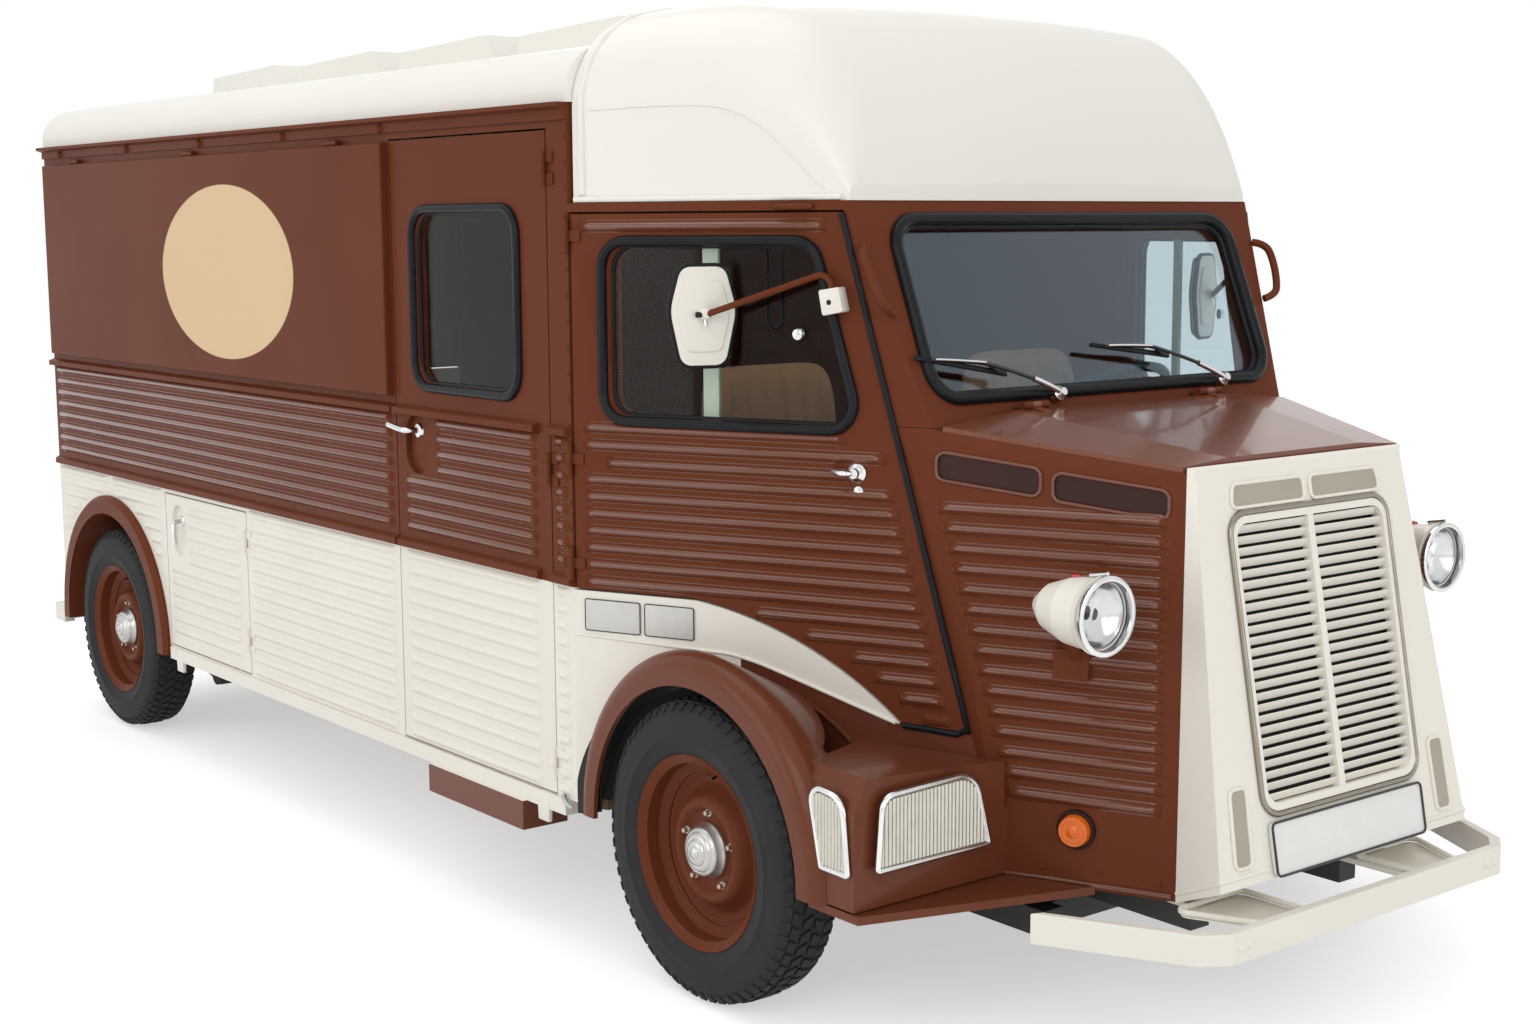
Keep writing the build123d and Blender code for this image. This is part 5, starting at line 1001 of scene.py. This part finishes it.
def mirrorHead(head, way, sideways, up):
    def outlineAt(depth, wide=1.0, tall=1.0, tight=mirror["round"], loose=0.11):
        across, high = mirror["half"] * wide, mirror["tall"] * tall
        points = [head + way * depth + sideways * a * across + up * b * high for a, b in barrel]
        return roundedLoop(points, [tight, tight, loose] * 2, 5)

    bothDoors(tube("mirrorEdgeRight", outlineAt(0.016), 0.0068, "rubber", "cab_door_right", closed=True, sides=3))
    shell = slab("mirrorShellRight", outlineAt(0.003), way * 0.020, "creamPaint", "cab_door_right", 0.004,
                 3)
    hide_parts("mirror_right")
    twin = bothDoors(shell)
    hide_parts("mirror_left")
    crown = outlineAt(0.022, 0.80, 0.72, 0.022, 0.10)
    bothDoors(slab("mirrorCrownRight", crown, way * 0.0065, "creamPaint", "cab_door_right", 0.005, segments=3))
    bothDoors(slab("mirrorFaceRight", outlineAt(0.001, 0.97, 0.97), -way * 0.002, "mirrorFace", "cab_door_right"))


def mirrors():  # barrel-shaped head with a raised panel, a clamp on its back and a block foot
    head = Vector(mirror["head"])
    way = Vector((1, -mirror["turn"], 0)).normalized()
    sideways = Vector((mirror["turn"], 1, 0)).normalized()
    up = Vector((0, 0, 1))
    mirrorHead(head, way, sideways, up)
    clamp = [(0.0, 0.0), (0.0, 0.016), (0.012, 0.015), (0.018, 0.011), (0.022, 0.011), (0.024, 0.0)]
    spot = head + way * 0.026 + up * 0.006
    bothDoors(turned("mirrorClampRight", clamp, spot, way, "creamPaint", "cab_door_right", 6, 20))
    pin = [(0.0, 0.0), (0.0, 0.0065), (0.034, 0.0065), (0.036, 0.0)]
    spot = head + way * 0.038 + sideways * 0.012 + up * 0.004
    bothDoors(turned("mirrorPinRight", pin, spot, -sideways, "deepShade", "cab_door_right", 16))
    wing = [head + way * 0.036 - up * 0.004, head + way * 0.042 - up * 0.022]
    bothDoors(tube("mirrorWingRight", wing, 0.0042, "chrome", "cab_door_right"))
    foot = cabPoint(axle + 0.166, 1.594)
    base = [(-0.027, 0.026), (0.022, 0.034), (0.034, -0.020), (-0.017, -0.030)]
    block = roundedLoop([foot + cabAlong * a + up * b for a, b in base], 0.004, 2)
    grip = head + way * 0.040 + up * 0.004
    stem = foot + cabOut * 0.022
    bend = stem + up * 0.062 - cabAlong * 0.022
    points = [grip, grip.lerp(bend, 0.5), bend - (bend - grip).normalized() * 0.03, bend, stem + up * 0.040,
              stem + up * 0.010]
    bothDoors(tube("mirrorArmRight", points, 0.0075, "brownPaint", "cab_door_right", smooth=True, sides=3))
    bothDoors(slab("mirrorFootRight", block, cabOut * 0.040, "creamPaint", "cab_door_right", 0.003))
    hole = [(0.0, 0.0), (0.0, 0.0060), (0.0008, 0.0055), (0.0010, 0.0)]
    bothDoors(turned("mirrorHoleRight", hole, foot + cabOut * 0.0400, cabOut, "deepShade", "cab_door_right", 16))


wipers()
sideHandles()
cabHandles()
rearHandles()
mirrors()
print("wipers, levers and mirrors on")


def roundHeads(name, spots, outward, radius, finish, body, high=0.004):
    dome = [(-0.001, 0.0), (-0.001, radius), (high * 0.6, radius * 0.8), (high, radius * 0.35), (high, 0.0)]
    heads = [turned("head", dome, spot, outward, finish, None, 12) for spot in spots]
    return joinUp(heads, name, finish, body, 50)


def roofSpot(start, way, out):  # where a line first meets the cab roof, stood off by out
    hit, spot, normal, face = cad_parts["cab_roof"].ray_cast(start, Vector(way))
    return spot + normal * out if hit else None


def sideTrim():
    y = -side
    bolts = [Vector((axle + x, y - 0.008, 2.022)) for x in (-3.76, -3.14, -2.55, -1.96, -1.37)]
    roundHeads("fasciaBolts", bolts, (0, -1, 0), 0.013, "brownPaint", "body", 0.012)
    heights = [0.98 + i * 0.062 for i in range(17)]
    rivets = [Vector((pillar - 0.008, y - 0.0005, z)) for z in heights if abs(z - 1.212) > 0.05]
    mirrorOver(roundHeads("pillarRivetsRight", rivets, (0, -1, 0), 0.0055, "brownPaint", "body"))
    seam = [cabPoint(seamX(z) + 0.003, z, 0.003) for z in (1.788, 1.60, 1.40, 1.20, 1.00, 0.80, 0.662)]
    seam += [cabPoint(axle + x, z, 0.002) for x, z in ((0.436, 0.648), (0.380, 0.652), (0.318, 0.655))]
    mirrorOver(tube("doorSealRight", seam, 0.0075, "rubber", "body"))
    noseBolts = [cabPoint(axle + x, 0.375, 0.0005) for x in (0.50, 0.62, 0.74, 0.86)]
    mirrorOver(roundHeads("noseBoltsRight", noseBolts, cabOut, 0.006, "brownPaint", "body"))


def blankBadges():
    plates, frames = [], []
    for rear, front in ((-0.446, -0.306), (-0.294, -0.172)):
        shape = rectangle(lambda x, z: cabPoint(axle + x, z, 0.001), (rear, front), (0.800, 0.876))
        loop = roundedLoop(shape, 0.005, 2)
        plates.append(slab("badge", loop, cabOut * 0.002, "badgeGrey", None, 0.0006))
        raised = [p + cabOut * 0.002 for p in loop]
        frames.append(tube("badgeLine", raised, 0.0014, "framePaint", None, closed=True, sides=1))
    joinUp(plates, "blankBadges", "badgeGrey", "body")
    joinUp(frames, "badgeLines", "framePaint", "body")


def cabTrim():
    bead = [cabPoint(axle + x, z, 0.001) for x, z in ((-0.468, 0.788), (-0.30, 0.783), (-0.16, 0.778), (-0.06, 0.777),
                                                      (0.10, 0.725), (0.20, 0.691), (0.30, 0.658))]
    mirrorOver(tube("waistBeadRight", bead, 0.0042, "creamPaint", "body", smooth=True))
    iron = [(0.226, 1.712, 0.0), (0.236, 1.708, 0.034), (0.256, 1.664, 0.044), (0.276, 1.612, 0.044),
            (0.290, 1.580, 0.034), (0.292, 1.570, 0.0)]
    for label, sign in (("Right", -1), ("Left", 1)):
        way = Vector((math.sin(taper), sign * math.cos(taper), 0))
        points = [Vector((axle + x, sign * cabY(axle + x), z)) + way * stand for x, z, stand in iron]
        tube("grabIron" + label, points, 0.0095, "brownPaint", "body", smooth=True, sides=4)
    hook = [cabPoint(axle + x, 1.803, out) for x, out in ((0.03, 0.004), (0.075, 0.022), (0.115, 0.004))]
    mirrorOver(tube("dripHookRight", hook, 0.007, "brownPaint", "body", smooth=True))


swage = [(-0.425, 2.030), (-0.340, 2.033), (-0.258, 2.035), (-0.180, 2.034), (-0.120, 2.031), (-0.059, 2.012),
         (-0.001, 1.976), (0.065, 1.912), (0.130, 1.842)]


def roofTrim():
    crease = [roofSpot(Vector((axle + x, -1.6, z)), (0, 1, 0), 0.0005) for x, z in swage]
    mirrorOver(tube("roofSwageRight", crease, 0.0035, "roofPaint", "body", smooth=True))
    rim = []
    for i in range(41):
        angle = math.pi * i / 40
        way = Vector((0, -math.cos(angle), math.sin(angle)))
        start = Vector((pillar + 0.030, 0, 1.835)) + way * 3
        rim.append(roofSpot(start, -way, 0.001))
    tube("roofRim", [spot for spot in rim if spot], 0.0085, "roofPaint", "body", sides=3)
    flange = [Vector((x, -cabY(x, inset), 1.824)) for x, inset in ((pillar + 0.014, -0.006), (axle + 0.17, -0.008))]
    mirrorOver(tube("roofFlangeRight", flange, 0.008, "roofPaint", "body"))


def lowTrim():
    y = -side
    at = flatWall(y - 0.010)
    jack = []
    for x in (axle - 0.62, axle - 2.88):
        shape = [at(x - 0.03, 0.366), at(x + 0.03, 0.366), at(x + 0.024, 0.290), at(x - 0.024, 0.290)]
        jack.append(slab("jackBracket", shape, (0, 0.012, 0), "creamPaint", None, 0.003))
    joinUp(jack, "jackBrackets", "creamPaint", "body")
    bolts = [Vector((axle + 1.1305, across, 0.324)) for across in (-0.447, -0.417, 0.417, 0.447)]
    roundHeads("bumperBolts", bolts, (1, 0, 0), 0.0098, "creamPaint", "body", 0.006)
    latch = [(axle - 0.530, y - 0.006, 0.375), (axle - 0.515, y - 0.018, 0.362), (axle - 0.492, y - 0.006, 0.350)]
    tube("sillLatch", latch, 0.006, "steelSheet", "body", smooth=True)


tray = [(0.93, 0.20), (1.10, 0.20), (1.10, 0.34), (0.93, 0.42)]


def bumperTrays():
    for label, sign in (("Right", -1), ("Left", 1)):
        loop = roundedLoop([Vector((axle + x, sign * y, 0.330)) for x, y in tray], 0.02, 4)
        slab("bumperTray" + label, loop, (0, 0, 0.004), "creamPaint", "body", 0.001)
        raised = [p + Vector((0, 0, 0.012)) for p in loop]
        tube("bumperTrayEdge" + label, raised, 0.007, "creamPaint", "body", closed=True)


sideTrim()
blankBadges()
cabTrim()
roofTrim()
lowTrim()
bumperTrays()
print("body trimmed")


seatLook = {"middle": 0.440, "cuts": 35, "backChannels": 7, "cushionChannels": 6}


def cushion(name, centre, half, lean, channels):  # a crowned pad; half holds its half thickness, width and height
    freshStart()
    bpy.ops.mesh.primitive_cube_add(size=2, location=(0, 0, 0))
    piece = bpy.context.object
    bpy.ops.object.mode_set(mode="EDIT")
    bpy.ops.mesh.select_all(action="SELECT")
    bpy.ops.mesh.subdivide(number_cuts=seatLook["cuts"])
    bpy.ops.object.mode_set(mode="OBJECT")
    turn = Matrix.Translation(centre) @ Matrix.Rotation(lean, 4, "Y")
    for vertex in piece.data.vertices:
        w, u, v = vertex.co
        edge = max(abs(u), abs(v))
        soften = edge / (abs(u) ** 7 + abs(v) ** 7) ** (1 / 7) if edge else 1.0
        crown = 0.42 + 0.58 * math.sqrt(max(0.0, 1 - edge ** 5))
        valley = 1 - abs(math.sin(math.pi * (u + 1) / 2 * channels)) ** 0.55
        if w > 0:
            crown *= 1 - 0.32 * valley * (1 - edge ** 10)
        bulge = 1 - 0.05 * w * w * (edge ** 6)
        vertex.co = turn @ Vector((w * crown * half[0], u * soften * bulge * half[1], v * soften * bulge * half[2]))
    dress(piece, name, "tanLeather", "body", 60)
    return piece


def seats():  # box bases, crowned cushions and backs in the place of the plain ones
    for label, sign in (("Right", -1), ("Left", 1)):
        x, y = axle - 0.275, sign * seatLook["middle"]
        shape = rectangle(lambda across, along: Vector((across, along, 0.40)), (x - 0.130, x + 0.130),
                          (y + 0.19, y - 0.19))
        base = slab("seatBox" + label, roundedLoop(shape, 0.03, 3), (0, 0, 0.398), "framePaint", "body", 0.006)
        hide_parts("seats")
        cushion("seatCushion" + label, (axle - 0.205, y, 0.845), (0.052, 0.205, 0.222), -math.pi / 2,
                seatLook["cushionChannels"])
        cushion("seatBack" + label, (axle - 0.376, y, 1.150), (0.052, 0.205, 0.268), -0.09, seatLook["backChannels"])


def windowBars():  # the bar between the two halves of each door window
    for label, sign in (("right", -1), ("left", 1)):
        shape = []
        for x, z in ((-0.158, 1.312), (-0.120, 1.312), (-0.120, 1.724), (-0.158, 1.724)):
            shape.append(Vector((axle + x, sign * cabY(axle + x, -0.014), z)))
        inward = Vector((-math.sin(taper), -sign * math.cos(taper), 0))
        slab("windowBar" + label.capitalize(), shape, inward * 0.012, "postGreen", "cab_door_" + label, 0.002)


def strapAndHorn():
    x, z = axle - 2.09, 1.56
    loop = roundedLoop(rectangle(flatWall(0.944), (x - 0.042, x + 0.042), (z - 0.165, z + 0.165)), 0.040, 8)
    tube("wallStrap", loop, 0.010, "rubber", "body", closed=True, sides=3)
    way = Vector((-290, 0, 430)).normalized()
    cap = [(0.014, 0.0), (0.014, 0.034), (0.024, 0.030), (0.030, 0.015), (0.031, 0.0)]
    turned("hornCap", cap, (axle + 0.010, 0.300, 1.290), way, "blackPlastic", "steering_wheel", 24)


seats()
windowBars()
strapAndHorn()
print("cab furnished")

view = {"spot": (5.138, -3.669, 1.765), "yaw": 141.61, "pitch": -7.9, "roll": -0.29, "lens": 48.65}


def setCamera():
    yaw, rise, roll = (math.radians(view[k]) for k in ("yaw", "pitch", "roll"))
    ahead = Vector((math.cos(rise) * math.cos(yaw), math.cos(rise) * math.sin(yaw), math.sin(rise)))
    right = ahead.cross(Vector((0, 0, 1))).normalized()
    up = right.cross(ahead)
    rolledRight = right * math.cos(roll) + up * math.sin(roll)
    rolledUp = up * math.cos(roll) - right * math.sin(roll)
    turn = Matrix((rolledRight, rolledUp, -ahead)).transposed().to_4x4()
    bpy.ops.object.camera_add()
    camera = bpy.context.object
    camera.matrix_world = Matrix.Translation(view["spot"]) @ turn
    camera.data.lens = view["lens"]
    camera.data.sensor_width = 36
    camera.data.clip_end = 200
    bpy.context.scene.camera = camera


stage = {"floorSize": 60, "floorShade": 0.80, "floorLift": 0.5, "worldShade": 0.62}
white = (1, 1, 1, 1)


def whereSeen(tree):  # 1 for camera, gloss and glass rays
    path = tree.nodes.new("ShaderNodeLightPath")
    result = path.outputs["Is Camera Ray"]
    for ray in ("Is Glossy Ray", "Is Transmission Ray"):
        result = addMath(tree, "MAXIMUM", result, path.outputs[ray])
    return result


def setWorld():  # white where it is seen, darker where it only lights
    world = bpy.data.worlds.new("studio")
    bpy.context.scene.world = world
    world.use_nodes = True
    tree = world.node_tree
    mixer = tree.nodes.new("ShaderNodeMixShader")
    tree.links.new(whereSeen(tree), mixer.inputs[0])
    shades = (tree.nodes["Background"], stage["worldShade"]), (tree.nodes.new("ShaderNodeBackground"), 1.0)
    for place, (shade, strength) in enumerate(shades):
        shade.inputs["Color"].default_value = white
        shade.inputs["Strength"].default_value = strength
        tree.links.new(shade.outputs[0], mixer.inputs[place + 1])
    tree.links.new(mixer.outputs[0], tree.nodes["World Output"].inputs["Surface"])


def setFloor():
    freshStart()
    bpy.ops.mesh.primitive_plane_add(size=stage["floorSize"], location=(0, 0, -0.001))
    floor = bpy.context.object
    floor.name = "floor"
    pale = bpy.data.materials.new("paleFloor")
    pale.use_nodes = True
    tree = pale.node_tree
    shader = tree.nodes["Principled BSDF"]
    shader.inputs["Base Color"].default_value = (stage["floorShade"],) * 3 + (1,)
    shader.inputs["Roughness"].default_value = 0.9
    shader.inputs["Specular IOR Level"].default_value = 0.1
    shader.inputs["Emission Color"].default_value = white
    lift = addMath(tree, "MULTIPLY", whereSeen(tree), stage["floorLift"])
    tree.links.new(lift, shader.inputs["Emission Strength"])
    floor.data.materials.append(pale)


lamps = {"keyPanel": ((6, -7, 5.0), 5.0, 170), "sidePanel": ((-2, -9, 2.8), 5.0, 120),
         "frontPanel": ((9, 0.5, 2.8), 4.0, 95), "topPanel": ((-1, -1, 8), 6.0, 140),
         "backPanel": ((-6, 6, 5), 5.0, 130)}
cabLamp = {"spot": (axle - 0.25, 0, 1.95), "power": 2.5, "size": 0.03}


def setLights():
    for name, (spot, size, power) in lamps.items():
        freshStart()
        bpy.ops.object.light_add(type="AREA", location=spot)
        light = bpy.context.object
        light.name = name
        light.data.size = size
        light.data.energy = power
        aim = Vector((0, 0, 1.0)) - Vector(spot)
        light.rotation_euler = aim.to_track_quat("-Z", "Y").to_euler()
    freshStart()
    bpy.ops.object.light_add(type="POINT", location=cabLamp["spot"])
    light = bpy.context.object  # the cab's own roof light, which lights but isn't seen
    light.name = "cabLight"
    light.data.energy = cabLamp["power"]
    light.data.shadow_soft_size = cabLamp["size"]
    light.visible_camera = False
    light.visible_glossy = False
    light.visible_transmission = False


setCamera()
setWorld()
setFloor()
setLights()
bpy.context.scene.view_settings.view_transform = "Standard"
print("stage set")
